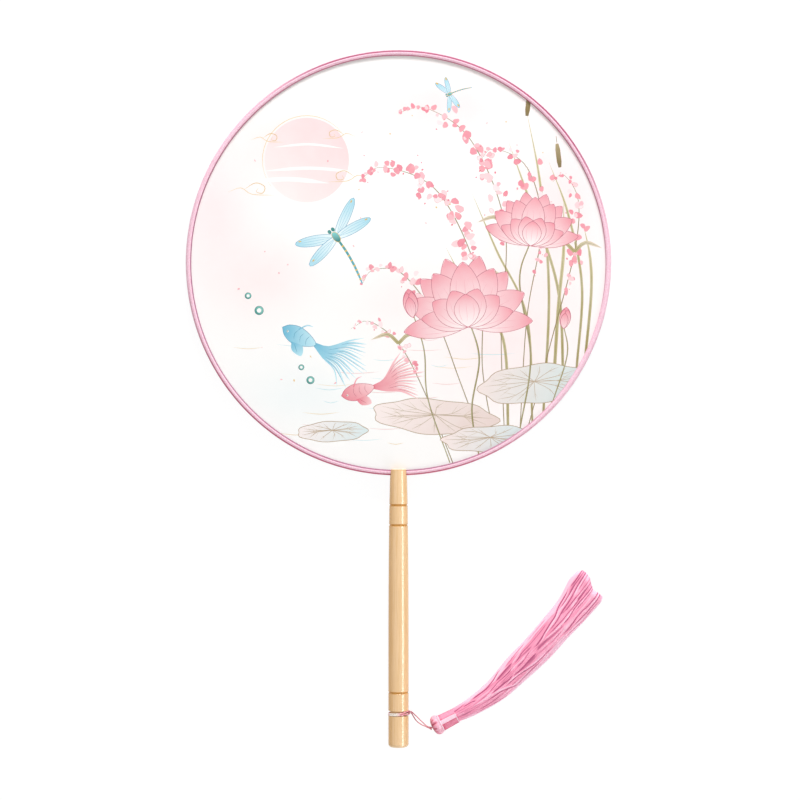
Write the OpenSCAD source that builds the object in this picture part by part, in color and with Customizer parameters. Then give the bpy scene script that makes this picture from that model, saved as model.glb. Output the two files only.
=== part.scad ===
// Round hand fan: a cloth leaf stretched on a wire hoop, a ribbon-bound rim, a turned
// wooden handle that is forked over the rim, and a thread tassel on a doubled string.
// It lies face up on a table: the leaf faces +Z and the handle points along -Y.
// The origin is under the middle of the fan, at the height of the table. Units: mm.

/* [Leaf and rim] */
// Diameter of the fan over its bound rim
rim_d = 232; // [160:1:300]
// Diameter of the hoop's wire
wire_d = 2; // [1.4:0.1:2.4]
// Thickness of one cloth face of the leaf
cloth_t = 0.15; // [0.1:0.05:0.25]
// Thickness of the ribbon, two layers with their glue, round the rim
ribbon_t = 0.3; // [0.25:0.05:0.4]
// How far the ribbon's outer fold stands out past the bound tube
fold_step = 0.15; // [0.1:0.05:0.2]
// Diameter of the ribbon's outer fold
fold_d = 1.24; // [1:0.02:1.4]

/* [Handle] */
// Length of the handle
handle_l = 151.4; // [110:0.1:200]
// Diameter of the handle at its forked top end
handle_top_d = 9; // [8.6:0.1:10.4]
// Diameter of the handle where it is held
grip_d = 11.1; // [10.7:0.1:14]
// Length over which the top end swells to the grip
swell_l = 100; // [60:1:130]
// Rounding of the handle's lower end
end_round = 1.9; // [1:0.1:3]
// Rounding of the handle's top end
top_round = 0.4; // [0.2:0.1:0.8]
// First scorched groove, from the top end
groove_1_s = 19.4; // [15:0.1:24]
// Second scorched groove, from the top end
groove_2_s = 30.3; // [27:0.1:38]
// Third scorched groove, from the lower end
groove_3_s = 29.9; // [26:0.1:40]
// Width of a scorched groove
groove_w = 1; // [0.6:0.1:1.6]
// Depth of a scorched groove
groove_depth = 0.45; // [0.2:0.05:0.8]
// Middle of the string's groove, from the lower end
cord_groove_s = 18.6; // [12:0.1:22]
// Width of the string's groove
cord_groove_w = 2.8; // [2.7:0.1:4]
// Depth of the string's groove
cord_groove_depth = 0.97; // [0.9:0.01:1.1]
// Length of the hoop's two tails inside the handle
tail_l = 22; // [12:1:35]
// Radius of the bend from the hoop into a tail
tail_bend_r = 2; // [1.5:0.1:2.4]
// Gap between the hoop's two tails
tail_gap = 0.2; // [0.2:0.05:0.4]

/* [String] */
// Diameter of the string
cord_d = 0.6; // [0.4:0.05:0.65]
// Distance between the two strands of the doubled string
strand_pitch = 1.05; // [1.05:0.05:1.1]
// Distance between the two sides of the loop that the strands pass through
bight_w = 3.5; // [3.4:0.1:3.8]
// Diameter of the knot that holds the tassel
knot_d = 2.3; // [2.2:0.1:2.6]

/* [Tassel] */
// Largest diameter of the gathered cap
cap_d = 10.9; // [9.8:0.1:12]
// Length of the cap, from its dimple's rim to the collar
cap_l = 4.7; // [4:0.1:6]
// Number of pleats in the cap
cap_pleats = 14; // [10:1:26]
// Depth of a pleat
pleat_depth = 0.28; // [0.1:0.02:0.5]
// Diameter of the pale collar
collar_d = 9.8; // [9.4:0.1:11]
// Width of the collar
collar_w = 0.9; // [0.6:0.1:1.5]
// Diameter of the satin sleeve where it meets the collar
sleeve_d = 9; // [8.6:0.1:9.4]
// Diameter of the sleeve at its open end
sleeve_end_d = 8.3; // [8:0.1:8.6]
// Length of the sleeve
sleeve_l = 9.1; // [7:0.1:14]
// Wall of the sleeve
sleeve_wall = 0.4; // [0.2:0.05:0.5]
// Length of the skirt, measured along the head's axis
skirt_l = 98; // [60:1:140]
// Rings of thread locks round the skirt's middle lock
skirt_rings = 4; // [2:1:4]
// Turn of the locks about the skirt's own line, from root to tip
skirt_twist = 55; // [0:5:90]
// Direction of the tassel's head, from the X axis
head_turn = 27.4; // [0:0.1:60]

/* [Hidden] */

// Overrun of a cut, and the clearance between pieces that are glued or seated
cut = 1;
seat_gap = 0.05;
bend_swell = 0.06;
bend_ring_l = 0.6;

// Rim: everything is laid round the wire's centre
wire_r = wire_d / 2;
hem_r = wire_r + seat_gap;
hem_outer_r = hem_r + cloth_t;
bind_in_r = hem_outer_r + seat_gap;
slit_h = cloth_t + seat_gap;
tube_r = bind_in_r + ribbon_t;
rim_half_w = tube_r + fold_step;
rim_w = 2 * rim_half_w;
fold_r = fold_d / 2;
hoop_r = rim_d / 2 - rim_half_w;
fan_l = rim_d + handle_l - rim_w;
hoop_y = fan_l / 2 - rim_d / 2;
grip_r = grip_d / 2;
axis_z = grip_r;

// Handle: s is measured from the top end, down the handle
handle_top_r = handle_top_d / 2;
top_y = hoop_y - hoop_r + rim_half_w;
swell_steps = 12;
swell_share = 0.7;
fork_gap = 0.1;
fork_half_t = tube_r + fork_gap;
tail_x = wire_r + tail_gap / 2;
bore_gap = 0.1;
bore_r = tail_x + wire_r + bore_gap;
bore_l = tail_l + bore_gap;
drill_angle = 118;
drill_tip_l = bore_r / tan(drill_angle / 2);
bend_x = tail_x + tail_bend_r;
bend_angle = asin(bend_x / (hoop_r + tail_bend_r));
bend_y = hoop_y - (hoop_r + tail_bend_r) * cos(bend_angle);
fork_half_w = sqrt(handle_top_r * handle_top_r - fork_half_t * fork_half_t);
tuck = 0.1;
bind_end_x = fork_half_w - tuck;
bind_angle = asin(bind_end_x / hoop_r);
glue_angle = asin((bind_end_x - seat_gap) / hoop_r);
leaf_r = hoop_r - hem_outer_r - seat_gap;

// String: the groove carries two strands, and their loop stands outside them
cord_r = cord_d / 2;
floor_gap = 0.27;
wrap_r = grip_r - cord_groove_depth + floor_gap + cord_r;
bight_r = wrap_r + 2 * cord_d;
bight_half_w = bight_w / 2;
half_pitch = strand_pitch / 2;
groove_y = top_y - handle_l + cord_groove_s;
hitch_rise = 0.4;
turn_drop = 0.25;
hitch_y = groove_y + hitch_rise;
cord_sides = 8;

// Tassel: u is measured from the knot's centre, along the head's axis
knot_r = knot_d / 2;
knot_gap = 0.4;
loop_place = [bight_r, hitch_y, axis_z];
pivot = loop_place + [11.25, -8.7, 0.3];
cap_u = 1;
cap_r = cap_d / 2;
collar_u = cap_u + cap_l;
collar_r = collar_d / 2;
sleeve_u = collar_u + collar_w;
sleeve_r = sleeve_d / 2;
sleeve_end_r = sleeve_end_d / 2;
core_gap = 0.1;
core_r = sleeve_end_r - sleeve_wall - core_gap;
core_l = 5.4;
skirt_u = collar_u + core_l;
slab_t = 1;
root_r = core_r - core_gap;
lock_sides = 5;
lock_steps = 9;
ring_turn = 17;
fall_rate = 5;
slope_step = 0.02;

// Coordinates of a point at angle a and radius r about the handle's axis
function about_handle(a, r, y) = [r * cos(a), y, axis_z + r * sin(a)];
function between(a, b, t) = a + (b - a) * t;

// Smooth curve through a table's rows: t counts rows, and ends keep their slope
function row(table, i) = table[max(0, min(len(table) - 1, i))];
function smooth(table, t) =
    let (i = min(floor(t), len(table) - 2), f = t - i,
         a = row(table, i - 1), b = row(table, i), c = row(table, i + 1), d = row(table, i + 2))
    b + 0.5 * f * (c - a + f * (2 * a - 5 * b + 4 * c - d + f * (3 * (b - c) + d - a)));

module at_hoop() { translate([0, hoop_y, axis_z]) children(); }
module on_head() { translate(pivot) rotate([0, 0, head_turn]) rotate([0, 90, 0]) children(); }

// The wire is a hair thicker where each bend starts and ends
module bend_ring() {
    cylinder(r = wire_r + bend_swell, h = bend_ring_l, center = true, $fn = 48);
}

// The hoop's line: a round hoop whose two ends are bent down into the handle
module hoop_shape() {
    at_hoop() rotate([0, 0, bend_angle - 90])
        rotate_extrude(angle = 360 - 2 * bend_angle, $fn = 240)
            translate([hoop_r, 0]) circle(wire_r, $fn = 24);
    for (side = [0, 1]) mirror([side, 0, 0]) {
        translate([hoop_r * sin(bend_angle), hoop_y - hoop_r * cos(bend_angle), axis_z])
            rotate([0, 90, bend_angle]) bend_ring();
        translate([bend_x, bend_y, axis_z]) rotate([0, 0, 90 + bend_angle])
            rotate_extrude(angle = 90 - bend_angle, $fn = 96)
                translate([tail_bend_r, 0]) circle(wire_r, $fn = 24);
        translate([tail_x, bend_y, axis_z]) rotate([90, 0, 0]) bend_ring();
        translate([tail_x, bend_y, axis_z]) rotate([90, 0, 0])
            cylinder(r = wire_r, h = tail_l - (top_y - bend_y), $fn = 24);
    }
}

// Iron wire hoop
module hoop_wire() { color("#8d8f93") hoop_shape(); }

// Ring of a section about the hoop's middle that leaves the fork free
module round_rim() {
    rotate([0, 0, bind_angle - 90])
        rotate_extrude(angle = 360 - 2 * bind_angle, $fn = 240) children();
}

// Section of a cloth face's edge: flat, then turned over half of the wire
module hem_section() {
    translate([leaf_r - rim_w, 0]) square([hoop_r - hem_r - leaf_r + rim_w, cloth_t]);
    translate([hoop_r, 0]) intersection() {
        difference() {
            circle(hem_outer_r, $fn = 48);
            circle(hem_r, $fn = 48);
        }
        translate([-hem_outer_r - cut, 0]) square([2 * (hem_outer_r + cut), hem_outer_r + cut]);
    }
}

// One cloth face: a round sheet with its edge over the wire, which ends at the fork
module cloth_face() {
    cylinder(r = leaf_r, h = cloth_t, $fn = 240);
    round_rim() hem_section();
}

module leaf_front() { color("#fdf6f4") at_hoop() cloth_face(); }

module leaf_back() { color("#f8efed") at_hoop() mirror([0, 0, 1]) cloth_face(); }

// Section of the ribbon round the rim, in short straight steps: a tube with an outer
// fold, and a slit for the leaf
function steps(r, x, a, b, n, skip) = [for (i = [skip:n - skip])
    [x + r * cos(between(a, b, i / n)), r * sin(between(a, b, i / n))]];

module binding_section() {
    fold_x = rim_half_w - fold_r;
    meet_x = (tube_r * tube_r - fold_r * fold_r + fold_x * fold_x) / (2 * fold_x);
    tube_a = acos(meet_x / tube_r);
    fold_a = acos((meet_x - fold_x) / fold_r);
    lip_a = 180 - asin(slit_h / tube_r);
    inner_a = 180 - asin(slit_h / bind_in_r);
    polygon(concat(steps(tube_r, 0, lip_a, tube_a, 11, 0), steps(fold_r, fold_x, fold_a, -fold_a, 6, 1),
                   steps(tube_r, 0, -tube_a, -lip_a, 11, 0), steps(bind_in_r, 0, -inner_a, inner_a, 20, 0)));
}

// Ribbon glued over the rim: its two ends are tucked into the handle's fork
module edge_binding() {
    color("#f6b3cb") at_hoop() round_rim() translate([hoop_r, 0]) binding_section();
}

// Radius of the handle at s: the top end swells into the grip, fast at first
function handle_r(s) = between(handle_top_r, grip_r, sin(90 * pow(min(1, s / swell_l), swell_share)));

module handle_profile() {
    polygon(concat(
        [[0, 0]],
        [for (a = [0:30:90])
            [handle_top_r - top_round * (1 - sin(a)), top_round * (1 - cos(a))]],
        [for (i = [1:swell_steps]) [handle_r(swell_l * i / swell_steps), swell_l * i / swell_steps]],
        [for (a = [0:15:90])
            [grip_r - end_round * (1 - cos(a)), handle_l - end_round * (1 - sin(a))]],
        [[0, handle_l]]));
}

// V-shaped ring that cuts a scorched groove at s
module scorched_groove(s) {
    rotate_extrude($fn = 96) polygon([
        [handle_r(s) - groove_depth, s],
        [handle_r(s) + groove_depth, s - groove_w],
        [handle_r(s) + groove_depth, s + groove_w]]);
}

// Turned wooden handle: forked over the rim, drilled for the hoop's tails
module handle() {
    color("#e4c292") difference() {
        translate([0, top_y, axis_z]) rotate([90, 0, 0]) difference() {
            rotate_extrude($fn = 96) handle_profile();
            scorched_groove(groove_1_s);
            scorched_groove(groove_2_s);
            scorched_groove(handle_l - groove_3_s);
            translate([0, 0, handle_l - cord_groove_s - cord_groove_w / 2]) difference() {
                cylinder(r = grip_r + cut, h = cord_groove_w, $fn = 96);
                translate([0, 0, -cut])
                    cylinder(r = grip_r - cord_groove_depth, h = cord_groove_w + 2 * cut, $fn = 96);
            }
            translate([0, 0, -cut]) cylinder(r = bore_r, h = bore_l + cut, $fn = 48);
            translate([0, 0, bore_l]) cylinder(r1 = bore_r, r2 = 0, h = drill_tip_l, $fn = 48);
        }
        at_hoop() rotate_extrude($fn = 240)
            translate([hoop_r - rim_w, -fork_half_t])
                square([rim_w + rim_half_w + fork_gap, 2 * fork_half_t]);
    }
}

// Set glue: fills the fork between the ribbon's ends, and the bore round the tails
module glue_plug() {
    color("#efe3c4") difference() {
        union() {
            at_hoop() rotate([0, 0, -90 - glue_angle])
                rotate_extrude(angle = 2 * glue_angle, $fn = 240)
                    translate([hoop_r - hem_outer_r, -fork_half_t])
                        square([hem_outer_r + rim_half_w + fork_gap, 2 * fork_half_t]);
            translate([0, top_y - rim_half_w, axis_z]) rotate([90, 0, 0])
                cylinder(r = bore_r, h = bore_l - rim_half_w, $fn = 48);
        }
        hoop_shape();
    }
}

// Free strands from the hitch to the knot, as places from the middle of the string's loop
upper_strand = [[1.5, 0.35, -0.95], [2.5, -0.6, -1.6], [3.6, -2, -2.1], [4.7, -3.4, -2.4],
                [5.9, -4.8, -2.3], [7.1, -6.1, -1.9], [8.3, -7.1, -1.2], [9.7, -7.8, -0.4],
                [11.25, -8.15, 0.3]];
lower_strand = [[1.2, -1, -1.2], [1.5, -2.2, -2], [2.1, -3.6, -2.6], [2.9, -4.9, -3],
                [4, -6.1, -3], [5.4, -7.1, -2.6], [6.8, -7.9, -1.9], [8.2, -8.55, -1],
                [9.7, -9.05, -0.2], [11.25, -9.25, 0.3]];
// Front of the hitch: angle, half the distance of the strands and radius, as shares
spread_shares = [[-270, 0, 0], [-288, 0.08, 0.08], [-304, 0.36, 0.36], [-319, 0.68, 0.7],
                 [-334, 0.92, 0.92]];
// How far the pair of strands is drawn down the handle round the turn
drift_angles = [[-360, 0], [-319, 0.12], [-270, 0.55], [-180, 0.8], [-90, 0.4], [-30, 0.1], [0, 0]];

// Half of the string from a free strand's end to the top of the loop: side is 1 or -1
function half_route(side, strand) = concat(
    [for (i = [len(strand) - 1:-1:0]) loop_place + strand[i]],
    [for (a = [0:45:180])
        [bight_r + (bight_r - wrap_r) * cos(a), hitch_y + side * half_pitch,
         axis_z + (bight_r - wrap_r) * (sin(a) - turn_drop)]],
    [for (a = [-22:-19:-262]) about_handle(a, wrap_r,
        hitch_y + side * half_pitch - lookup(a, drift_angles))],
    [for (p = spread_shares) about_handle(p[0], between(wrap_r, bight_r, p[2]),
        hitch_y + side * between(half_pitch, bight_half_w, p[1]) - lookup(p[0], drift_angles))],
    [for (a = [90:-30:30])
        about_handle(-348 - asin(bight_half_w * cos(a) / bight_r), bight_r,
                     hitch_y + side * bight_half_w * sin(a))]);
loop_top = about_handle(-348 - asin(bight_half_w / bight_r), bight_r, hitch_y);
upper_half = half_route(1, upper_strand);
lower_half = half_route(-1, lower_strand);
cord_route = concat(upper_half, [loop_top],
                    [for (i = [len(lower_half) - 1:-1:0]) lower_half[i]]);

function unit_vector(v) = v / norm(v);
function route_direction(p, i) =
    unit_vector(unit_vector(p[min(i + 1, len(p) - 1)] - p[i == len(p) - 1 ? i - 1 : i])
                + unit_vector(p[i == 0 ? 1 : i] - p[max(i - 1, 0)]));
// Side directions that turn as little as they can along the route
function route_sides(p) = [
    for (i = 0, n = unit_vector(cross(route_direction(p, 0), [0, 0, 1]));
         i < len(p);
         i = i + 1,
         n = i < len(p) ? unit_vector(n - route_direction(p, i) * (n * route_direction(p, i))) : n) n];

// Tube of one radius along a route, closed at both ends
module tube(p, r, sides) {
    n = route_sides(p);
    rings = len(p);
    polyhedron(
        points = [for (i = [0:rings - 1]) let (m = cross(route_direction(p, i), n[i]))
            for (k = [0:sides - 1]) p[i] + r * (cos(360 * k / sides) * n[i] + sin(360 * k / sides) * m)],
        faces = concat(
            [for (i = [0:rings - 2], k = [0:sides - 1]) let (k2 = (k + 1) % sides)
                [i * sides + k, (i + 1) * sides + k, i * sides + k2]],
            [for (i = [0:rings - 2], k = [0:sides - 1]) let (k2 = (k + 1) % sides)
                [i * sides + k2, (i + 1) * sides + k, (i + 1) * sides + k2]],
            [for (k = [1:sides - 2]) [0, k, k + 1]],
            [for (k = [1:sides - 2]) let (e = (rings - 1) * sides) [e, e + k + 1, e + k]]));
}

// Doubled string: hitched round the handle and drawn together at the tassel's knot
module tassel_cord() { color("#ee9db1") tube(cord_route, cord_r, cord_sides); }

module cord_knot() { color("#e58aa2") translate(pivot) sphere(knot_r, $fn = 32); }

// Gathered cap: a pleated dome with a dimple for the knot, as shares of its length and radius
cap_shares = [[0.02, 0.27, 0.2], [0, 0.4, 0.9], [0.06, 0.62, 1], [0.18, 0.82, 1], [0.36, 0.95, 1],
              [0.56, 1, 1], [0.76, 0.985, 0.8], [0.92, 0.93, 0.5], [1, 0.88, 0]];
cap_columns = 2 * cap_pleats;
dimple_u = knot_r + knot_gap;
function cap_radius(shares, k) = cap_r * shares[1] - (k % 2 == 0 ? 0 : pleat_depth * shares[2]);

module tassel_cap() {
    rows = len(cap_shares);
    points = concat(
        [[dimple_u, 0, 0]],
        [for (p = cap_shares, k = [0:cap_columns - 1]) let (a = 360 * k / cap_columns)
            [cap_u + cap_l * p[0], cap_radius(p, k) * cos(a), cap_radius(p, k) * sin(a)]],
        [[cap_u + cap_l, 0, 0]]);
    last = len(points) - 1;
    color("#f3a3bf") translate(pivot) rotate([0, 0, head_turn]) polyhedron(
        points = points,
        faces = concat(
            [for (k = [0:cap_columns - 1]) [0, 1 + (k + 1) % cap_columns, 1 + k]],
            [for (j = [0:rows - 2], k = [0:cap_columns - 1])
                let (a = 1 + j * cap_columns, b = a + cap_columns, k2 = (k + 1) % cap_columns)
                each [[a + k, a + k2, b + k], [a + k2, b + k2, b + k]]],
            [for (k = [0:cap_columns - 1]) let (a = 1 + (rows - 1) * cap_columns)
                [last, a + k, a + (k + 1) % cap_columns]]));
}

// Pale thread wound round the neck, under the cap
module tassel_collar() {
    color("#fbdfe8") on_head() translate([0, 0, collar_u]) rotate_extrude($fn = 72)
        difference() {
            union() {
                translate([core_r + core_gap, 0])
                    square([collar_r - collar_w / 2 - core_r - core_gap, collar_w]);
                translate([collar_r - collar_w / 2, collar_w / 2]) circle(collar_w / 2, $fn = 32);
            }
            translate([0, -cut]) square([core_r + core_gap, collar_w + 2 * cut]);
        }
}

// Satin ribbon wrapped round the neck as a sleeve
module tassel_sleeve() {
    color("#f5a9c6") on_head() translate([0, 0, sleeve_u]) rotate_extrude($fn = 72)
        polygon([[sleeve_r - sleeve_wall, 0], [sleeve_r, 0], [sleeve_end_r, sleeve_l],
                 [sleeve_end_r - sleeve_wall, sleeve_l]]);
}

// Bound core of the head: the cap, collar and sleeve sit on it, and the skirt hangs from it
module tassel_core() {
    color("#e7b9c6") on_head() translate([0, 0, collar_u]) cylinder(r = core_r, h = core_l, $fn = 72);
}

// Line of the skirt: along the head's axis, sideways, width and thickness, as shares of its length
skirt_shares = [[0, 0, 0.07, 0.07], [0.045, 0.001, 0.073, 0.073], [0.15, 0.001, 0.1, 0.09],
                [0.31, 0.022, 0.134, 0.094], [0.47, 0.073, 0.163, 0.094], [0.62, 0.119, 0.173, 0.092],
                [0.77, 0.177, 0.178, 0.088], [0.89, 0.223, 0.192, 0.08], [1, 0.279, 0.223, 0.07]];
// Reach of the locks across the tip: place across the skirt, and share of the length
tip_shares = [[-1, 1.005], [-0.7, 1.02], [-0.3, 1.015], [0.1, 1.045], [0.45, 1.075], [0.7, 1.078],
              [0.9, 1.045], [1, 1]];
lock_r_share = 0.45;
lock_pitch = 1 / (skirt_rings + lock_r_share);
locks = concat([[0, 0]], [for (k = [1:skirt_rings], i = [0:6 * k - 1])
    let (a = 60 * i / k + ring_turn * k) k * lock_pitch * [cos(a), sin(a)]]);

function skirt_row(t) = smooth(skirt_shares, t * (len(skirt_shares) - 1));
function skirt_slope(t) = let (v = skirt_row(min(1, t + slope_step)) - skirt_row(max(0, t - slope_step)))
    unit_vector([v[0], v[1]]);
function turned(p, a) = [p[0] * cos(a) - p[1] * sin(a), p[0] * sin(a) + p[1] * cos(a)];
// Height of the skirt's line: the head's own at the root, then lying on the table
function skirt_drop(t) = let (h = skirt_row(t)[3] * skirt_l / 2)
    (h + tuck - pivot[2]) * min(1, fall_rate * t * t);
// Place of a point of the skirt's section, at t from root to tip
function skirt_place(t, p) = let (c = skirt_row(min(1, t)), d = skirt_slope(min(1, t)),
        over = max(0, t - 1), w = p[0] * c[2] / 2)
    [skirt_u + skirt_l * (c[0] - d[1] * w + d[0] * over), skirt_l * (c[1] + d[0] * w + d[1] * over),
     skirt_drop(min(1, t)) + skirt_l * p[1] * c[3] / 2];
function lock_end(p) = lookup(turned(p, skirt_twist)[0], tip_shares);
function lock_section(centre, t, k) = let (a = 360 * k / lock_sides,
        q = centre + lock_pitch * lock_r_share * [cos(a), sin(a)])
    skirt_place(t, turned(q, skirt_twist * t));

module skirt_locks() {
    ring = lock_sides;
    each_lock = ring * (lock_steps + 1);
    polyhedron(
        points = [for (c = locks, i = [0:lock_steps], k = [0:ring - 1])
            lock_section(c, between(slab_t / skirt_l / 2, lock_end(c), i / lock_steps), k)],
        faces = [for (n = [0:len(locks) - 1]) let (o = n * each_lock) each concat(
            [for (i = [0:lock_steps - 1], k = [0:ring - 1]) let (a = o + i * ring, k2 = (k + 1) % ring)
                each [[a + k, a + ring + k, a + k2], [a + k2, a + ring + k, a + ring + k2]]],
            [for (k = [1:ring - 2]) [o, o + k, o + k + 1]],
            [for (k = [1:ring - 2]) let (e = o + lock_steps * ring) [e, e + k + 1, e + k]])]);
}

// Thread skirt: locks of thread that grow out of one bound slice at the core
module tassel_skirt() {
    color("#f49fc0") {
        on_head() translate([0, 0, skirt_u]) cylinder(r = root_r, h = slab_t, $fn = 72);
        translate(pivot) rotate([0, 0, head_turn]) skirt_locks();
    }
}

// Least gap of the string to itself, from each point of the route to the stretches past its own bend
function to_stretch(p, a, b) = let (f = max(0, min(1, (p - a) * (b - a) / ((b - a) * (b - a)))))
    norm(p - a - f * (b - a));
cord_gap = min([for (i = [0:len(cord_route) - 1], j = [0:len(cord_route) - 2])
    if (abs(i - j) > 3 && abs(i - j - 1) > 3) to_stretch(cord_route[i], cord_route[j], cord_route[j + 1])])
    - cord_d;
cord_l = [for (i = 0, s = 0; i < len(cord_route); i = i + 1,
    s = i < len(cord_route) ? s + norm(cord_route[i] - cord_route[i - 1]) : s) s][len(cord_route) - 1];
echo(string_gap = cord_gap, string_length = cord_l, rings = len(cord_route));

hoop_wire();
leaf_front();
leaf_back();
edge_binding();
handle();
glue_plug();
tassel_cord();
cord_knot();
tassel_cap();
tassel_collar();
tassel_sleeve();
tassel_core();
tassel_skirt();
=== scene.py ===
import math
import bpy
import numpy as np
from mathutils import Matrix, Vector
from mathutils.geometry import delaunay_2d_cdt


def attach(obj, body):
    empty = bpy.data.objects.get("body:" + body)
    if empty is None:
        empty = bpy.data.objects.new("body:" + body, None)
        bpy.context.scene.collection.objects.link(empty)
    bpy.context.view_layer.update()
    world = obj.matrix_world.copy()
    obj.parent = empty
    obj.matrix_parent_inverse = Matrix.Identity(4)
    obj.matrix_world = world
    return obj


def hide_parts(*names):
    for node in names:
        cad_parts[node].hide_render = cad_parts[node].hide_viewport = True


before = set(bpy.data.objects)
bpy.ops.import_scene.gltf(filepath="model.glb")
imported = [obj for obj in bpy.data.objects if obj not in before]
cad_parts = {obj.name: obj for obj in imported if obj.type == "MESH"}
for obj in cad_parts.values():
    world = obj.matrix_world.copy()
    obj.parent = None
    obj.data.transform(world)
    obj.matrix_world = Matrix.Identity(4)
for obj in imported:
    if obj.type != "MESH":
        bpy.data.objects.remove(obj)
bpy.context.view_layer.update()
scene = bpy.context.scene
MM = 0.001
TAU = 2 * math.pi

# Places that part.scad also has, in millimetres
AXIS_Z, HOOP_Y, HOOP_R = 5.55, 74.0, 114.3
TUBE_R, FOLD_R, RIM_HALF_W = 1.55, 0.62, 1.7
BIND_ANGLE = math.degrees(math.asin(4.0866 / HOOP_R))
CLOTH_T = 0.15
TOP_Y, FOOT_Y = -38.6, -190.0
GROOVES_Y = (TOP_Y - 19.4, TOP_Y - 30.3, FOOT_Y + 29.9)
STRING_GROOVE_Y, HITCH_Y = -171.4, -171.0
WRAP_R, BIGHT_R, HALF_PITCH, BIGHT_HALF_W = 5.15, 5.95, 0.4, 0.9
STRING_D = 0.6
LOOP = np.array([6.35, HITCH_Y, AXIS_Z])
PIVOT = LOOP + np.array([11.25, -8.7, 0.3])
HEAD_TURN = math.radians(27.4)
CAP_U, CAP_L, CAP_R = 1.0, 4.7, 5.45
COLLAR_U, COLLAR_W, COLLAR_R = 5.7, 0.9, 4.9
SLEEVE_U, SLEEVE_L, SLEEVE_R, SLEEVE_END_R = 6.6, 9.1, 4.5, 4.15
SKIRT_U, SKIRT_L = 11.1, 98.0


def linear(text):
    """Linear RGB of a #rrggbb colour."""
    c = np.array([int(text[i:i + 2], 16) for i in (1, 3, 5)]) / 255
    return np.where(c <= 0.04045, c / 12.92, ((c + 0.055) / 1.055) ** 2.4)


def rgba(text):
    return (*linear(text), 1.0)


def ease(x, a, b):
    """0 to 1 as x goes from a to b."""
    t = np.clip((x - a) / (b - a), 0, 1)
    return t * t * (3 - 2 * t)


def make_piece(name, points, faces, body, material, nodes, slot, **vectors):
    """A smooth mesh piece from points in millimetres and vectors by point, riding on a body."""
    mesh = bpy.data.meshes.new(name)
    mesh.from_pydata((np.reshape(points, (-1, 3)) * MM).tolist(), [], [list(q) for q in faces])
    mesh.polygons.foreach_set("use_smooth", [True] * len(mesh.polygons))
    mesh.materials.append(material)
    for key, values in vectors.items():
        layer = mesh.attributes.new(key, "FLOAT_VECTOR", "POINT")
        layer.data.foreach_set("vector", np.asarray(values, np.float32).ravel())
    mesh.update()
    obj = bpy.data.objects.new(name, mesh)
    scene.collection.objects.link(obj)
    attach(obj, body)
    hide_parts(*nodes)
    return obj


def grid_faces(rows, cols, flip=False, ends=False):
    """Quads of a grid that is closed round its columns, and its two end faces."""
    i, j = np.meshgrid(np.arange(rows - 1), np.arange(cols), indexing="ij")
    a, b = i * cols + j, i * cols + (j + 1) % cols
    faces = np.stack([a, b, b + cols, a + cols], -1).reshape(-1, 4).tolist()
    if ends:
        faces += [list(range(cols))[::-1], list(range((rows - 1) * cols, rows * cols))]
    return [q[::-1] for q in faces] if flip else faces


def by_point(*columns):
    """Vectors for the points of a grid, from what each component is by row and column."""
    return np.stack(np.broadcast_arrays(*columns), -1).reshape(-1, 3)


def spline(a, b, c, d, f):
    """Catmull-Rom point at f between b and c."""
    return b + 0.5 * f * (c - a + f * (2 * a - 5 * b + 4 * c - d + f * (3 * (b - c) + d - a)))


def catmull(points, step):
    """Points about step apart on a smooth curve through the given ones."""
    p = np.asarray(points, float)
    q = np.vstack([2 * p[0] - p[1], p, 2 * p[-1] - p[-2]])
    out = []
    for i in range(len(p) - 1):
        n = max(1, int(round(np.linalg.norm(q[i + 2] - q[i + 1]) / step)))
        out.append(spline(*q[i:i + 4], (np.arange(n) / n)[:, None]))
    return np.vstack(out + [p[-1:]])


def distances(p):
    """How far along a line each of its points lies."""
    return np.concatenate([[0], np.cumsum(np.linalg.norm(np.diff(p, axis=0), axis=1))])


def angles(n):
    """n angles once round, in radians."""
    return np.arange(n) / n * TAU


def unit(v):
    return v / np.maximum(np.linalg.norm(v, axis=-1, keepdims=True), 1e-12)


def tube(p, radius, sides, twist=0.0, section=1.0):
    """Rows of points round a line: radius and twist in radians by row, section a factor by side."""
    t = unit(np.gradient(p, axis=0))
    n = np.zeros_like(t)
    n[0] = unit(np.cross(t[0], (0, 0, 1)))
    for i in range(1, len(p)):
        v = n[i - 1] - t[i] * (n[i - 1] @ t[i])
        n[i] = v / np.linalg.norm(v)
    a = angles(sides)
    r, w = (np.broadcast_to(q, len(p))[:, None] for q in (radius, twist))
    c, s = np.cos(w), np.sin(w)
    u, v = np.cos(a) * section * r, np.sin(a) * section * r
    return p[:, None] + (u * c - v * s)[..., None] * n[:, None] + (u * s + v * c)[..., None] * np.cross(t, n)[:, None]


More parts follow.
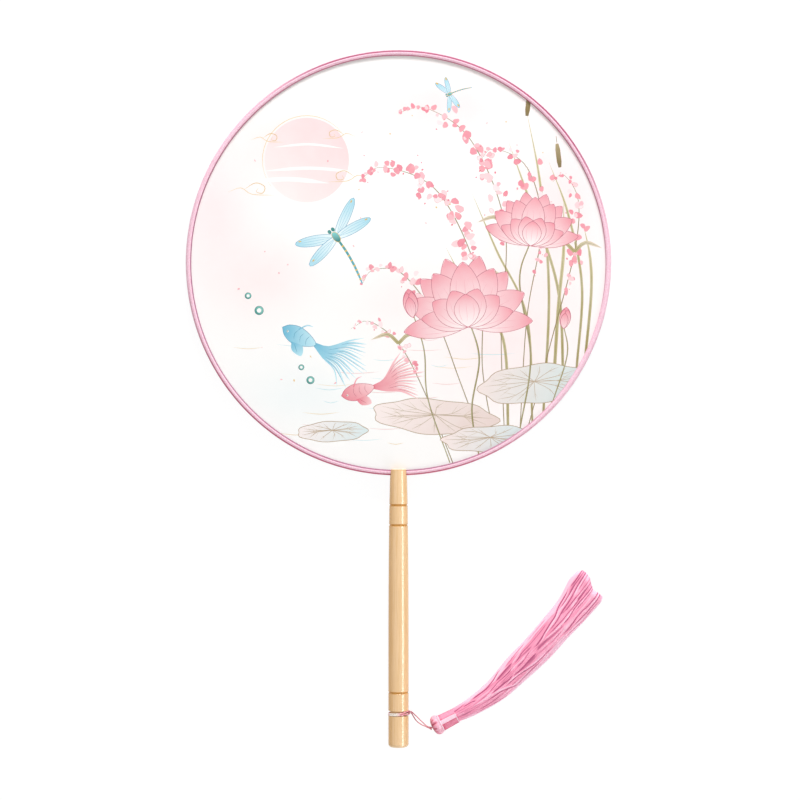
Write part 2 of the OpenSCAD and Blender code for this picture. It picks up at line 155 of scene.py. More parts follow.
class Nodes:
    """Short calls to add nodes to the tree of a material or of the world."""

    def __init__(self, owner, kind="Material"):
        owner.use_nodes = True
        self.tree = owner.node_tree
        self.tree.nodes.clear()
        self.out = self.add("Output" + kind)

    def add(self, kind, props=None, **inputs):
        n = self.tree.nodes.new("ShaderNode" + kind)
        for k, v in (props or {}).items():
            setattr(n, k, v)
        for k, v in inputs.items():
            self.put(n, k, v)
        return n

    def put(self, n, key, value):
        """Set or link an input, which a key names by its number or name. A text is a #rrggbb colour."""
        socket = n.inputs[int(key[1:])] if key[0] == "_" else n.inputs[key.replace("_", " ")]
        value = rgba(value) if isinstance(value, str) else value
        if isinstance(value, bpy.types.NodeSocket):
            self.tree.links.new(value, socket)
        else:
            socket.default_value = value

    def math(self, op, a, b=0.0, c=0.0):
        return self.add("Math", {"operation": op}, _0=a, _1=b, _2=c).outputs[0]

    def times(self, a, b):
        return self.math("MULTIPLY", a, b)

    def split_rays(self, lit, seen, share=1.0):
        """One shader for light, and another that is seen by the camera and in or through other things."""
        ray = self.add("LightPath").outputs
        f = self.math("MAXIMUM", ray["Is Camera Ray"], ray["Is Transmission Ray"])
        f = self.math("MAXIMUM", f, ray["Is Glossy Ray"])
        if share < 1:
            f = self.times(f, share)
        self.put(self.out, "_0", self.add("MixShader", _0=f, _1=lit.outputs[0], _2=seen.outputs[0]).outputs[0])


class Shader(Nodes):
    """A material with one Principled shader."""

    def __init__(self, name, **settings):
        self.material = bpy.data.materials.new(name)
        super().__init__(self.material)
        self.main = self.add("BsdfPrincipled", **settings)
        self.put(self.out, "_0", self.main.outputs[0])

    def mix(self, f, a, b, blend="MIX"):
        return self.add("Mix", {"data_type": "RGBA", "blend_type": blend, "clamp_factor": True},
                        _0=f, _6=a, _7=b).outputs[2]

    def ramp(self, x, a, b, low=0.0, high=1.0):
        return self.add("MapRange", {"interpolation_type": "SMOOTHSTEP"},
                        _0=x, _1=a, _2=b, _3=low, _4=high).outputs[0]

    def attribute(self, name, output="Vector"):
        return self.add("Attribute", {"attribute_name": name}).outputs[output]

    def millimetres(self):
        """Object coordinates in millimetres."""
        return self.scaled(self.add("TexCoord").outputs["Object"], (1000, 1000, 1000))

    def xyz(self, vector):
        return self.add("SeparateXYZ", _0=vector).outputs

    def scaled(self, vector, sizes):
        return self.add("Mapping", Vector=vector, Scale=sizes).outputs[0]

    def noise(self, vector, scale, detail=3.0, rough=0.5):
        return self.add("TexNoise", Vector=vector, Scale=scale, Detail=detail, Roughness=rough).outputs[0]

    def wave(self, x, period):
        """0 to 1 and back, over each period of x."""
        return self.math("MULTIPLY_ADD", self.math("SINE", self.times(x, TAU / period)), 0.5, 0.5)

    def colour(self, value):
        self.put(self.main, "Base Color", value)

    def roughness(self, value):
        self.put(self.main, "Roughness", value)

    def bump(self, height, distance):
        self.put(self.main, "Normal", self.add("Bump", Distance=distance, Height=height).outputs[0])


def thread_material(name, dark, mid, pale, period, roughness=0.42, depth=0.00004, vary=0.5):
    """Silky thread: "lay" holds the place round and along in mm, and the tint: 0 dark, 0.5 mid, 1 pale."""
    s = Shader(name, Sheen_Weight=0.3, Sheen_Roughness=0.35, Specular_IOR_Level=0.45)
    lay = s.xyz(s.attribute("lay"))

    def streaks(across, lengthwise):
        place = s.add("CombineXYZ", _0=s.times(lay[0], across), _1=s.times(lay[1], lengthwise))
        return s.noise(place.outputs[0], 1.0, 2.0)

    tint = s.math("MULTIPLY_ADD", s.math("SUBTRACT", streaks(1 / period, 0.04), 0.5), vary, lay[2])
    base = s.mix(s.ramp(tint, 0.0, 0.45), dark, mid)
    s.colour(s.mix(s.ramp(tint, 0.5, 1.0), base, pale))
    fibre = streaks(3.5, 0.15)
    s.bump(fibre, depth)
    s.roughness(s.ramp(fibre, 0.3, 0.7, roughness - 0.06, roughness + 0.12))
    return s.material


# Camera, lamps and floor. SPAN is the width of the view at the height of the handle's axis, in metres
SPAN, LENS, SENSOR = 0.4362, 100, 36
camera = bpy.data.objects.new("camera", bpy.data.cameras.new("camera"))
camera.data.sensor_width, camera.data.lens = SENSOR, LENS
camera.data.clip_start, camera.data.clip_end = 0.05, 20
camera.location = (0.00082, -0.00082, AXIS_Z * MM + SPAN * LENS / SENSOR)
scene.collection.objects.link(camera)
scene.camera = camera
scene.view_settings.view_transform = "Standard"

WHITE = (1, 1, 1, 1)
scene.world = bpy.data.worlds.new("studio")
n = Nodes(scene.world, "World")
n.split_rays(n.add("Background", Color=WHITE, Strength=0.5), n.add("Background", Color=WHITE, Strength=1.0))


def softbox(name, place, target, size, size_y, power, diffuse=True):
    lamp = bpy.data.lights.new(name, "AREA")
    lamp.shape = "RECTANGLE"
    lamp.size, lamp.size_y, lamp.energy = size, size_y, power
    obj = bpy.data.objects.new(name, lamp)
    obj.location = place
    obj.rotation_euler = (Vector(target) - Vector(place)).to_track_quat("-Z", "Y").to_euler()
    obj.visible_diffuse = diffuse
    scene.collection.objects.link(obj)


softbox("key_top", (0.16, 1.16, 0.46), (0.0, 0.03, 0.0), 0.6, 0.26, 16.0)
softbox("key_right", (0.62, -0.66, 0.36), (0.05, -0.12, 0.0), 0.6, 0.3, 1.9)
softbox("fill_low", (-0.3, -1.0, 1.2), (0.0, -0.05, 0.0), 0.8, 0.4, 2.8)
softbox("strip", (0.68, -0.12, 0.55), (0.0, -0.12, 0.0), 0.9, 0.27, 8.2, diffuse=False)

floor_mesh = bpy.data.meshes.new("floor")
floor_mesh.from_pydata([(-3, -3, 0), (3, -3, 0), (3, 3, 0), (-3, 3, 0)], [], [(0, 1, 2, 3)])
floor = bpy.data.objects.new("floor", floor_mesh)
scene.collection.objects.link(floor)
floor_m = bpy.data.materials.new("floor")
n = Nodes(floor_m)
n.split_rays(n.add("BsdfDiffuse", Color=(0.93, 0.93, 0.93, 1)), n.add("Emission", Color=WHITE, Strength=1.07), 0.86)
floor_mesh.materials.append(floor_m)

# String: its two strands from the handle to the knot, from LOOP. They lie closer together than the solid ones do,
# which keep a gap for their collision shapes
UPPER = [[1.3, -0.4, -0.95], [2.35, -1.45, -1.6], [3.3, -2.4, -2.1], [4.35, -3.45, -2.4], [5.6, -4.75, -2.3],
         [6.99, -5.95, -1.9], [8.24, -7.05, -1.2], [9.69, -7.9, -0.4], [11.34, -8.3, 0.3]]
LOWER = [[0.9, -0.9, -1.2], [1.5, -2.1, -2], [2.3, -3.5, -2.6], [3.2, -4.85, -3], [4.2, -5.85, -3],
         [5.5, -6.75, -2.6], [6.9, -7.45, -1.9], [8.2, -7.85, -1.2], [9.6, -8.5, -0.5], [11.25, -8.9, 0.2]]
# Degrees round the handle, and how far each strand has spread sideways and outwards there to form the bight
SPREAD = [[-270, 0, 0], [-288, 0.05, 0.05], [-304, 0.2, 0.3], [-319, 0.5, 0.62], [-334, 0.9, 0.9]]
BIGHT_AT = -348
# Degrees, and how far the strands have moved along the handle there
DRIFT = np.array([[-360, -0.15], [-340, -0.1], [-319, 0.1], [-290, 0.5], [-270, 0.75], [-225, 0.95], [-180, 1.0],
                  [-90, 0.5], [-30, 0.1], [0, 0]]).T
PLY_PITCH = 2.1


def about_handle(a, r, y):
    """The point at a degrees and radius r about the handle's axis."""
    a = math.radians(a)
    return [r * math.cos(a), y, AXIS_Z + r * math.sin(a)]


def half_route(side, strand):
    """One half of the string, from the knot through its own bight and round the handle into the bight."""
    turn = BIGHT_R - WRAP_R
    y = HITCH_Y + side * HALF_PITCH
    pts = [(LOOP + p).tolist() for p in strand[::-1]]
    for a in range(0, 181, 45):
        c, s = math.cos(math.radians(a)), math.sin(math.radians(a))
        pts.append([BIGHT_R + turn * c, y, AXIS_Z + turn * (s - 0.25)])
    pts += [about_handle(a, WRAP_R, y - np.interp(a, *DRIFT)) for a in range(-22, -263, -19)]
    pts += [about_handle(a, WRAP_R + turn * r,
                         HITCH_Y + side * (HALF_PITCH + (BIGHT_HALF_W - HALF_PITCH) * w) - np.interp(a, *DRIFT))
            for a, w, r in SPREAD]
    # The upper half ends at the middle of the bight, and the lower one short of it
    for a in (90, 60, 30, 0) if side > 0 else (90, 60, 30):
        c, s = math.cos(math.radians(a)), math.sin(math.radians(a))
        pts.append(about_handle(BIGHT_AT - math.degrees(math.asin(BIGHT_HALF_W * c / BIGHT_R)), BIGHT_R,
                                HITCH_Y + side * BIGHT_HALF_W * s))
    return pts


route = np.array(half_route(1, UPPER) + half_route(-1, LOWER)[::-1])
line = catmull(route, 0.17)
along = distances(line)
sides = 12
ply = 0.9 + 0.16 * np.abs(np.cos(angles(sides)))
pressed = ease(np.hypot(line[:, 0], line[:, 2] - AXIS_Z), BIGHT_R, WRAP_R + 0.2)
# Painted highlight: the thread is painted pale on top of the handle toward its left, where it lies in the light, and
# near the knot; it is deep pink where it is pulled tight
pale = pressed * ease(line[:, 2], AXIS_Z, AXIS_Z + 3) * ease(-line[:, 0], -4.5, 3)
tight = np.exp(-((line[:, 0] - 7.6) / 1.6) ** 2)
tint = 0.28 - 0.2 * tight + 0.8 * pale + 0.25 * ease(line[:, 0], 14.6, 15.8)
string_m = thread_material("string", "#b03a52", "#ef9fab", "#fff5ea", 0.35, roughness=0.55)
string = make_piece("string", tube(line, STRING_D / 2 * (0.94 + 0.36 * pressed), sides, along * TAU / PLY_PITCH, ply),
                    grid_faces(len(line), sides, flip=True, ends=True), "cord", string_m, ["tassel_cord"], "string",
                    lay=by_point(np.arange(sides) / sides * 2, along[:, None], tint[:, None]))

# Knot: a small trefoil pulled tight
rows, sides = 96, 10
a = angles(rows)
knot_line = np.stack([np.sin(a) + 2 * np.sin(2 * a), np.cos(a) - 2 * np.cos(2 * a), -np.sin(3 * a) * 1.3], 1)
knot_line = PIVOT + knot_line * (0.8 / 3) @ np.array([[0.6, 0.2, 0.77], [-0.3, 0.95, 0], [-0.74, -0.23, 0.63]])
last = (rows - 1) * sides
faces = grid_faces(rows, sides, flip=True)
faces += [[last + j, last + (j + 1) % sides, (j + 1) % sides, j] for j in range(sides)]
knot = make_piece("knot", tube(knot_line, STRING_D / 2, sides), faces, "cord", string_m, ["cord_knot"], "string",
                  lay=by_point(np.arange(sides) / 5, np.arange(rows)[:, None] * 0.1, 0.45))


def on_head(u, a, r):
    """Points about the head's axis: u along it from the knot, a angle, r radius."""
    c, s = math.cos(HEAD_TURN), math.sin(HEAD_TURN)
    u, a, r = np.broadcast_arrays(np.asarray(u, float), a, r)
    side, up = r * np.cos(a), r * np.sin(a)
    return np.stack([PIVOT[0] + u * c - side * s, PIVOT[1] + u * s + side * c, PIVOT[2] + up], -1)


# Cap: shares of its length and radius, and how deep its folds are there
CAP = np.array([[0.06, 0.16, 0.1], [0.01, 0.26, 0.4], [0, 0.38, 0.9], [0.06, 0.62, 1], [0.18, 0.82, 1],
                [0.36, 0.95, 1], [0.56, 1, 0.9], [0.76, 0.985, 0.6], [0.92, 0.93, 0.3], [1, 0.88, 0.1]])
# Soft wedge-shaped folds that start at the dimple: angle, how far they reach and how deep they are
FOLDS = ((20, 2.2, 0.7), (44, 3.0, 0.8), (69, 4.3, 1.0), (101, 2.7, 1.0), (127, 2.5, 0.9), (150, 3.4, 0.8),
         (176, 2.6, 0.7), (205, 3.2, 0.8), (233, 2.6, 0.9), (262, 3.6, 0.8), (291, 2.7, 0.9), (318, 3.3, 0.7),
         (343, 2.8, 0.8))
u, r, deep = catmull(CAP * [CAP_L, CAP_R, 1], 0.2).T[..., None]
rows, cols = len(u), 240
a = angles(cols)
fold = np.zeros((rows, cols))
for a0, reach, strength in FOLDS:
    off = (a - math.radians(a0) + math.pi) % TAU - math.pi
    left = np.clip(1 - u / reach, 0, 1)
    fold = np.maximum(fold, strength * np.exp(-(off / (0.03 + 0.2 * left)) ** 2) * ease(left, 0, 0.35))
fine = 0.5 + 0.5 * np.cos(a * 90)
shell = on_head(CAP_U + u, a, r - deep * (0.45 * fold + 0.02 * fine))
centre = on_head(1.7, 0.0, 0.0)
# Painted shade: the cap's thread is painted darker in its folds and toward the dimple
tint = 0.28 + 0.5 * ease(u + 0.25 * r, 0.9, 2.6) - 0.7 * fold
cap_m = thread_material("cap_thread", "#b8455f", "#f48fa9", "#ffcfdf", 0.5, vary=0.3)
cap = make_piece("tassel_cap_thread", np.vstack([shell.reshape(-1, 3), centre[None]]),
                 grid_faces(rows, cols) + [[rows * cols, (j + 1) % cols, j] for j in range(cols)], "tassel", cap_m,
                 ["tassel_cap"], "tassel_thread", lay=np.vstack([by_point(a * 5, u, tint), [[0, 0, 0]]]))

# Collar: turns of pale thread
cols, turns, inner_r = 160, 3, 3.9
a = angles(cols)
across = np.linspace(0, 1, 25)[:, None]
swell = np.sqrt(np.clip(1 - (2 * across - 1) ** 2, 0, 1))
r = COLLAR_R - 0.3 * (1 - swell) + np.abs(np.sin(across * math.pi * turns)) * 0.04 + 0.01 * np.sin(a * 60 + across * 9)
v = on_head(COLLAR_U + across * COLLAR_W, a, r)
v = np.concatenate([v, on_head(COLLAR_U + np.array([[COLLAR_W], [0]]), a, inner_r), v[:1]])
collar_m = thread_material("collar_thread", "#f3bccd", "#ffd0e0", "#ffe6ef", 0.3, vary=0.2)
collar = make_piece("tassel_collar_thread", v, grid_faces(len(v), cols), "tassel", collar_m, ["tassel_collar"],
                    "pale_thread", lay=by_point(a * 5, np.arange(len(v))[:, None] * 0.04, 0.6))

# Sleeve: satin ribbon wrapped into flats, with a pale selvage at its end
cols = 180
a = angles(cols)
station = np.array([0, 0.03, 0.2, 0.4, 0.6, 0.8, 0.9, 0.935, 0.95, 0.975, 0.995, 1.0])[:, None]
corner = np.radians([14, 67, 96, 164, 208, 255, 310, 374])
turn = (a - corner[0]) % TAU + corner[0]
flat = np.clip(np.searchsorted(corner, turn, side="right") - 1, 0, len(corner) - 2)
half = (corner[flat + 1] - corner[flat]) / 2
shape = np.cos(half) / np.cos(turn - corner[flat] - half)
shape = 1 - 0.75 * (1 - np.minimum(shape, 0.992) / 0.992)
folded = ease(a, 1.1, 1.25) * (1 - ease(a, 3.0, 3.3))
edge = np.array([0, 0, 0, 0, 0, 0, 0, 0, 0.09, 0.12, 0.1, 0])[:, None] * folded
r = (SLEEVE_R + (SLEEVE_END_R - SLEEVE_R) * station) * shape + edge + 0.12
v = on_head(SLEEVE_U + station * SLEEVE_L, a, r)
inner = on_head(SLEEVE_U + np.array([[SLEEVE_L], [0]]), a, np.array([[SLEEVE_END_R], [SLEEVE_R]]) * shape - 0.3)
v = np.concatenate([v, inner, v[:1]])
# Painted light and shade by flat: the flat on top is painted pale, as if it catches the light, and the next one dark,
# as if turned away from it
tone = np.array([0.48, 0.98, 0.3, 0.26, 0.4, 0.4, 0.4])[flat]
near = np.minimum(turn - corner[flat], corner[flat + 1] - turn)
# Painted shade along the creases between flats and next to the collar, but not on the top flat
tone = tone - np.where(flat == 1, 0.0, 0.3) * np.exp(-(near / 0.13) ** 2)
tone = tone - np.where(flat == 1, 0.0, 0.25) * np.exp(-(station / 0.1) ** 2)
tone = tone + (0.95 - tone) * (station > 0.94) * folded
tint = np.concatenate([tone, np.full((3, cols), 0.3)])
s = Shader("satin", Sheen_Weight=0.2, Sheen_Roughness=0.3, Specular_IOR_Level=0.5)
place = s.attribute("lay")
q = s.xyz(place)
weave = s.times(s.wave(q[0], 0.22), s.wave(q[1], 0.16))
tone = s.math("MULTIPLY_ADD", s.math("SUBTRACT", s.noise(place, 0.5), 0.5), 0.3, q[2])
base = s.mix(s.ramp(tone, 0.0, 0.5), "#dd5a7c", "#fd9cba")
s.colour(s.mix(s.ramp(tone, 0.5, 0.95), base, "#ffd8e8"))
s.roughness(s.ramp(weave, 0, 1, 0.38, 0.28))
s.bump(weave, 0.00002)
sleeve = make_piece("tassel_sleeve_satin", v, grid_faces(len(v), cols), "tassel", s.material, ["tassel_sleeve"],
                    "satin", lay=by_point(a * 4.3, np.vstack([station, [[1], [0], [0]]]) * SLEEVE_L, tint))

# Skirt, in shares of its length: its middle line's place along and across, its width and its height
SKIRT = np.array([[0, 0, 0.07, 0.07], [0.045, 0.001, 0.073, 0.073], [0.15, 0.001, 0.1, 0.09],
                  [0.31, 0.022, 0.134, 0.094], [0.47, 0.073, 0.163, 0.094], [0.62, 0.119, 0.173, 0.092],
                  [0.77, 0.177, 0.178, 0.088], [0.89, 0.223, 0.192, 0.08], [1, 0.279, 0.223, 0.07]])
# Where the threads end, by their place across
TIP = np.array([[-1, 1.012], [-0.95, 1.03], [-0.7, 1.035], [-0.3, 1.035], [0.0, 1.058], [0.2, 1.078],
                [0.5, 1.088], [0.75, 1.088], [0.93, 1.065], [1, 1.03]]).T
# The t it starts at, its lowest height and most relief in millimetres, and the t past which a lock doesn't fade out
ROOT, ABOVE_TABLE, RELIEF, PAST_TIP = 0.012, 0.05, 0.3, 1.05


def skirt_row(t):
    t = np.clip(t, 0, 1) * (len(SKIRT) - 1)
    i = np.minimum(np.floor(t).astype(int), len(SKIRT) - 2)
    return spline(*(SKIRT[np.clip(i + k, 0, len(SKIRT) - 1)] for k in (-1, 0, 1, 2)), (t - i)[..., None])


def skirt_place(t, px, py):
    """Points at t from root to tip, at px and py across the skirt's section."""
    t1 = np.minimum(t, 1)
    c = skirt_row(t1)
    d = unit((skirt_row(t1 + 0.02) - skirt_row(t1 - 0.02))[..., :2])
    over = np.maximum(t - 1, 0)
    # The threads spring out a little where the sleeve lets them go
    spread = 1 + 0.13 * ease(t1, 0.04, 0.065) * (1 - ease(t1, 0.08, 0.3))
    w = px * spread * c[..., 2] / 2
    # The skirt's middle comes down from the knot's height until the skirt lies on the table
    drop = (c[..., 3] * SKIRT_L / 2 + 0.1 - PIVOT[2]) * np.minimum(1, 5 * t1 * t1)
    x = SKIRT_U + SKIRT_L * (c[..., 0] - d[..., 1] * w + d[..., 0] * over)
    y = SKIRT_L * (c[..., 1] + d[..., 0] * w + d[..., 1] * over)
    z = drop + SKIRT_L * py * c[..., 3] / 2
    cs, sn = math.cos(HEAD_TURN), math.sin(HEAD_TURN)
    return np.stack([PIVOT[0] + x * cs - y * sn, PIVOT[1] + x * sn + y * cs, PIVOT[2] + z], -1)


def locks(*rows):
    """Strength, half width in mm and line of each lock, from rows that give the line's t and px in hundredths."""
    return [(row[0], row[1], np.reshape(row[2:], (-1, 2)) / 100) for row in rows]


# The body: combed thread with shallow grooves that run together and part again, closed along its tip
cols, rows = 340, 240
a = angles(cols)
end = np.interp(np.cos(a), *TIP)
t = ROOT + (end - ROOT) * np.linspace(0, 1, rows)[:, None] ** 0.9
close = np.sqrt(1 - np.clip((t - end + 0.04) / 0.04, 0, 0.9998) ** 2)
phase = 17 * a + 1.6 * np.sin(3 * a + 0.7) + 1.1 * np.sin(7 * a + 2.1) + 3.2 * t
phase = phase + 1.5 * np.sin(5.2 * t + 2 * a + 0.5) + 0.7 * np.sin(13 * t + 5 * a)
ridge = np.abs(np.sin(phase)) ** 0.7
# Painted light and shade: the skirt's side edges are painted paler, where its flanks turn away from the lamps, and the
# grooves between its ridges darker; the threads are also paler toward their tips
painted_pale_sides = ease(np.abs(np.cos(a)), 0.5, 0.9) * ease(t, 0.03, 0.25)
tint = 0.5 + 0.16 * ease(t, 0.16, 0.3) - 0.2 * (1 - ridge) ** 2 * ease(t, 0.08, 0.3)
tint = tint + np.where(np.cos(a) < 0, 0.25, 0.3) * painted_pale_sides + 0.25 * ease(t, end - 0.05, end)
high = -0.12 * (1 - ridge) * ease(t, 0.02, 0.2)
# Locks of thread that lie over one another, drawn in painted light and shade: patches of painted shade, painted
# highlights along their crests and painted shade in the gaps between them
PAINTED_SHADE_PATCHES = locks(
    (0.95, 1.4, 60, 2, 64, 2, 70, 0, 76, -10),
    (0.8, 1, 66, -16, 72, -20, 79, -20),
    (0.75, 0.9, 48, -28, 54, -26, 61, -22),
    (0.6, 1, 49, 45, 55, 42, 62, 45),
    (0.6, 0.9, 40, 16, 44, 16, 48, 18),
    (0.6, 1, 80, 36, 86, 38, 95, 34),
    (0.5, 1.2, 92, 68, 100, 66, 107, 60),
    (0.6, 0.9, 40, 56, 44, 54, 50, 50))
PAINTED_HIGHLIGHT_CRESTS = locks(
    (0.8, 0.5, 48, 52, 53, 62, 57, 75, 61, 87),
    (0.95, 0.5, 61, 19, 66, 20, 69, 30, 73, 37, 77, 45, 82, 55, 90, 59, 98, 57),
    (0.95, 0.45, 64, 17, 69, 7, 73, -2, 77, -6, 83, -3, 90, 1),
    (0.7, 0.5, 59, -7, 65, -14, 70, -24, 75, -30, 82, -34),
    (0.8, 0.35, 32.5, 24, 33.5, 14, 37, 16),
    (0.95, 0.4, 34, -2, 38, -15, 41, -34, 43, -53, 45, -68, 49, -66, 55, -63),
    (0.85, 0.45, 41, -14, 46, -21, 50, -31, 54, -41, 58, -49, 66, -51),
    (0.6, 0.45, 39, 70, 43, 78, 46, 70, 49, 66),
    (0.7, 0.45, 86, 16, 95, 15, 105, 10),
    (0.7, 0.4, 90, -13, 97, -16, 106, -20),
    (0.6, 0.45, 92, 42, 100, 43, 108, 46),
    (0.6, 0.5, 70, 72, 78, 75, 83, 86, 90, 88),
    (0.7, 0.4, 46, 27, 50, 29, 54, 26, 57, 34),
    (0.6, 0.45, 80, -62, 88, -60, 96, -65, 103, -66),
    (0.5, 0.6, 72, -45, 85, -36, 102, -40))
PAINTED_SHADE_GAPS = locks(
    (0.6, 0.4, 2, 72, 6, 63, 11, 58, 15, 62, 20, 75, 24, 85),
    (0.95, 0.35, 25, 76, 30, 74, 33, 70, 37, 76, 40, 82, 43, 90, 46, 84),
    (0.85, 0.35, 39, 60, 43, 62, 46, 61, 51, 57),
    (0.6, 0.3, 45, 72, 50, 78, 55, 85, 61, 91),
    (0.7, 0.3, 33, 28, 37, 37, 40, 42, 43, 37, 46, 33, 50, 36),
    (0.65, 0.3, 49, 36, 54, 53, 57, 60, 62, 61, 70, 65, 76, 70),
    (1, 0.4, 34, 8, 38, 6, 41, 2, 44, -5, 47.5, -2),
    (0.95, 0.42, 45, -8, 50, -17, 53, -15, 57, -10, 62, -9),
    (0.75, 0.3, 38, -5, 41, -21, 44, -27, 47, -31, 51, -41, 54, -51, 57, -57, 62, -57, 66, -60, 71, -65),
    (0.9, 0.3, 30, -26, 35, -27, 38, -29, 40, -40, 42, -57, 44, -72, 46, -77, 49, -72, 53, -70, 62, -69),
    (0.75, 0.35, 22, -83, 30, -80, 33, -84, 37, -88, 42, -93),
    (1, 0.36, 59, 30, 63, 26, 66, 31, 70, 41, 74, 50, 78, 56, 80, 65, 83, 76, 87, 81, 92, 82, 97, 86),
    (0.85, 0.34, 70, 22, 74, 25, 78, 32, 82, 42, 86, 46, 92, 47, 100, 50, 109, 53),
    (0.7, 0.3, 68, 16, 74, 10, 80, 7, 85, 10, 90, 7, 95, 5, 109, 3),
    (0.9, 0.3, 75, -11, 82, -13, 88, -4, 92, -5, 97, -10, 109, -17),
    (0.65, 0.26, 86, -12, 93, -20, 98, -23, 109, -27),
    (0.95, 0.34, 72, -61, 78, -60, 82, -54, 86, -48, 90, -49, 94, -56, 109, -61),
    (0.9, 0.3, 80, -70, 86, -71, 90, -74, 95, -74, 109, -72),
    (0.6, 0.3, 70, -83, 77, -84, 82, -86, 87, -90, 92, -87, 109, -89),
    (0.6, 0.26, 82, 62, 88, 65, 93, 64, 109, 65),
    (0.7, 0.3, 95, 80, 100, 76, 104, 74, 109, 75),
    (0.6, 0.3, 82, 26, 88, 30, 92, 27, 97, 21, 109, 16),
    (0.9, 0.3, 92, 13, 96, 9, 102, 5),
    (0.6, 0.28, 97, 34, 102, 36, 109, 40),
    (0.6, 0.3, 49, 17, 54, 16, 57, 24, 60, 34),
    (0.45, 0.3, 60, -22, 65, -28, 70, -35, 77, -36),
    (0.4, 0.3, 61, 86, 67, 89, 75, 90),
    (0.6, 0.3, 26, -62, 32, -60, 38, -55),
    (0.65, 0.3, 19, 60, 25, 57, 27, 46, 29, 34))
rng = np.random.default_rng(11)
# Fine lines over the skirt, painted highlight and painted shade by turns
PAINTED_FINE_LINES = []
for i in range(90):
    middle = 0.16 + 0.9 * ((i * 23) % 90 + rng.uniform(0, 1)) / 90
    long, px = rng.uniform(0.05, 0.13), rng.uniform(-0.88, 0.88)
    lean, bend = rng.uniform(-0.9, 0.9), rng.uniform(-0.04, 0.04)
    PAINTED_FINE_LINES.append((rng.uniform(0.35, 0.75), rng.uniform(0.24, 0.36),
                 [(middle + f * long, np.clip(px + lean * f * long + bend * (1 - f * f), -0.92, 0.92))
                  for f in (-1, -0.5, 0, 0.5, 1)]))
row = skirt_row(np.minimum(t, 1))
half_w, half_h = row[..., 2] * SKIRT_L / 2, row[..., 3] * SKIRT_L / 2
near = np.minimum(a, TAU - a)
mm_per_radian = np.sqrt((half_w * np.sin(near)) ** 2 + (half_h * np.cos(near)) ** 2)
# Each group paints its tint and gives the surface a little relief: shade patches, fine highlight and shade lines,
# highlight crests and shaded gaps
for group, aim, lift in ((PAINTED_SHADE_PATCHES, 0.1, -0.05), (PAINTED_FINE_LINES[::2], 0.9, 0.1), (PAINTED_FINE_LINES[1::2], 0.05, -0.1), (PAINTED_HIGHLIGHT_CRESTS, 0.97, 0.2),
                         (PAINTED_SHADE_GAPS, -0.35, -0.22)):
    for strength, wide, places in group:
        line = catmull(np.array(places) * [SKIRT_L, 10], 0.5) / [SKIRT_L, 10]
        px = np.interp(t, line[:, 0], line[:, 1])
        f = (t - line[0, 0]) / (line[-1, 0] - line[0, 0])
        shown = ease(f, 0, 0.2) * (1 if line[-1, 0] > PAST_TIP else ease(1 - f, 0, 0.2))
        off = (near - np.arccos(px)) * mm_per_radian / (wide * (0.4 + 0.6 * shown))
        drawn = strength * shown * np.exp(-off ** 2)
        tint = tint + (aim - tint) * drawn
        high = high * (1 - drawn) + lift * drawn
high = np.clip(high, -RELIEF, RELIEF)
r = 0.985 + high / (half_h + (half_w - half_h) * np.abs(np.cos(a)))
p = skirt_place(t, np.cos(a) * r * (0.96 + 0.04 * close), np.sin(a) * r * close)
p[..., 2] = np.maximum(p[..., 2], ABOVE_TABLE)
last, mid = (rows - 1) * cols, cols // 2
faces = grid_faces(rows, cols, flip=True) + [list(range(cols))]
faces += [[last + j + 1, last + j, last + cols - j, last + cols - j - 1] for j in range(1, mid - 1)]
faces += [[last + 1, last, last + cols - 1], [last + mid, last + mid - 1, last + mid + 1]]
skirt_m = thread_material("tassel_thread", "#b54d79", "#fb98b9", "#ffd0e5", 1.1, roughness=0.55, depth=0.00003,
                          vary=0.3)
make_piece("tassel_body", p, faces, "tassel", skirt_m, ["tassel_skirt", "tassel_core"], "tassel_thread",
           lay=by_point(a * 8, t * SKIRT_L, tint))


# Ribbon round the rim
def rim_section():
    """Outline of the ribbon's section, from the front lip over the fold to the back lip and inside."""
    fx = RIM_HALF_W - FOLD_R
    mx = (TUBE_R ** 2 - FOLD_R ** 2 + fx ** 2) / (2 * fx)
    ta, fa = math.acos(mx / TUBE_R), math.acos((mx - fx) / FOLD_R)
    inner_r, lip = 1.3, 0.2

    def arc(x, r, a, b, count):
        return [(x + r * math.cos(g), r * math.sin(g)) for g in np.linspace(a, b, count)]

    front = arc(0, TUBE_R, math.pi - math.asin(lip / TUBE_R), ta + 0.06, 22)
    # The ribbon's selvage: a fine raised edge beside the leaf
    selvage = [1.0, 1.035, 1.05, 1.045, 1.01]
    front[:len(selvage)] = [(x * k, z * k) for (x, z), k in zip(front, selvage)]
    half = front + arc(fx, FOLD_R, fa - 0.12, 0, 8)
    inner = math.pi - math.asin(lip / inner_r)
    return np.array(half + [(x, -z) for x, z in half[-2::-1]] + arc(0, inner_r, -inner, inner, 12))


rng = np.random.default_rng(5)
section = rim_section()
rows, cols = 1080, len(section)
g = np.radians(np.linspace(BIND_ANGLE - 90, 270 - BIND_ANGLE, rows))[:, None]
wob, wob2 = (sum(rng.uniform(0.4, 1) * np.sin(k * g + rng.uniform(0, TAU)) for k in ks) / 5
             for ks in ((7, 13, 23, 41, 67), (9, 17, 31, 53, 97)))
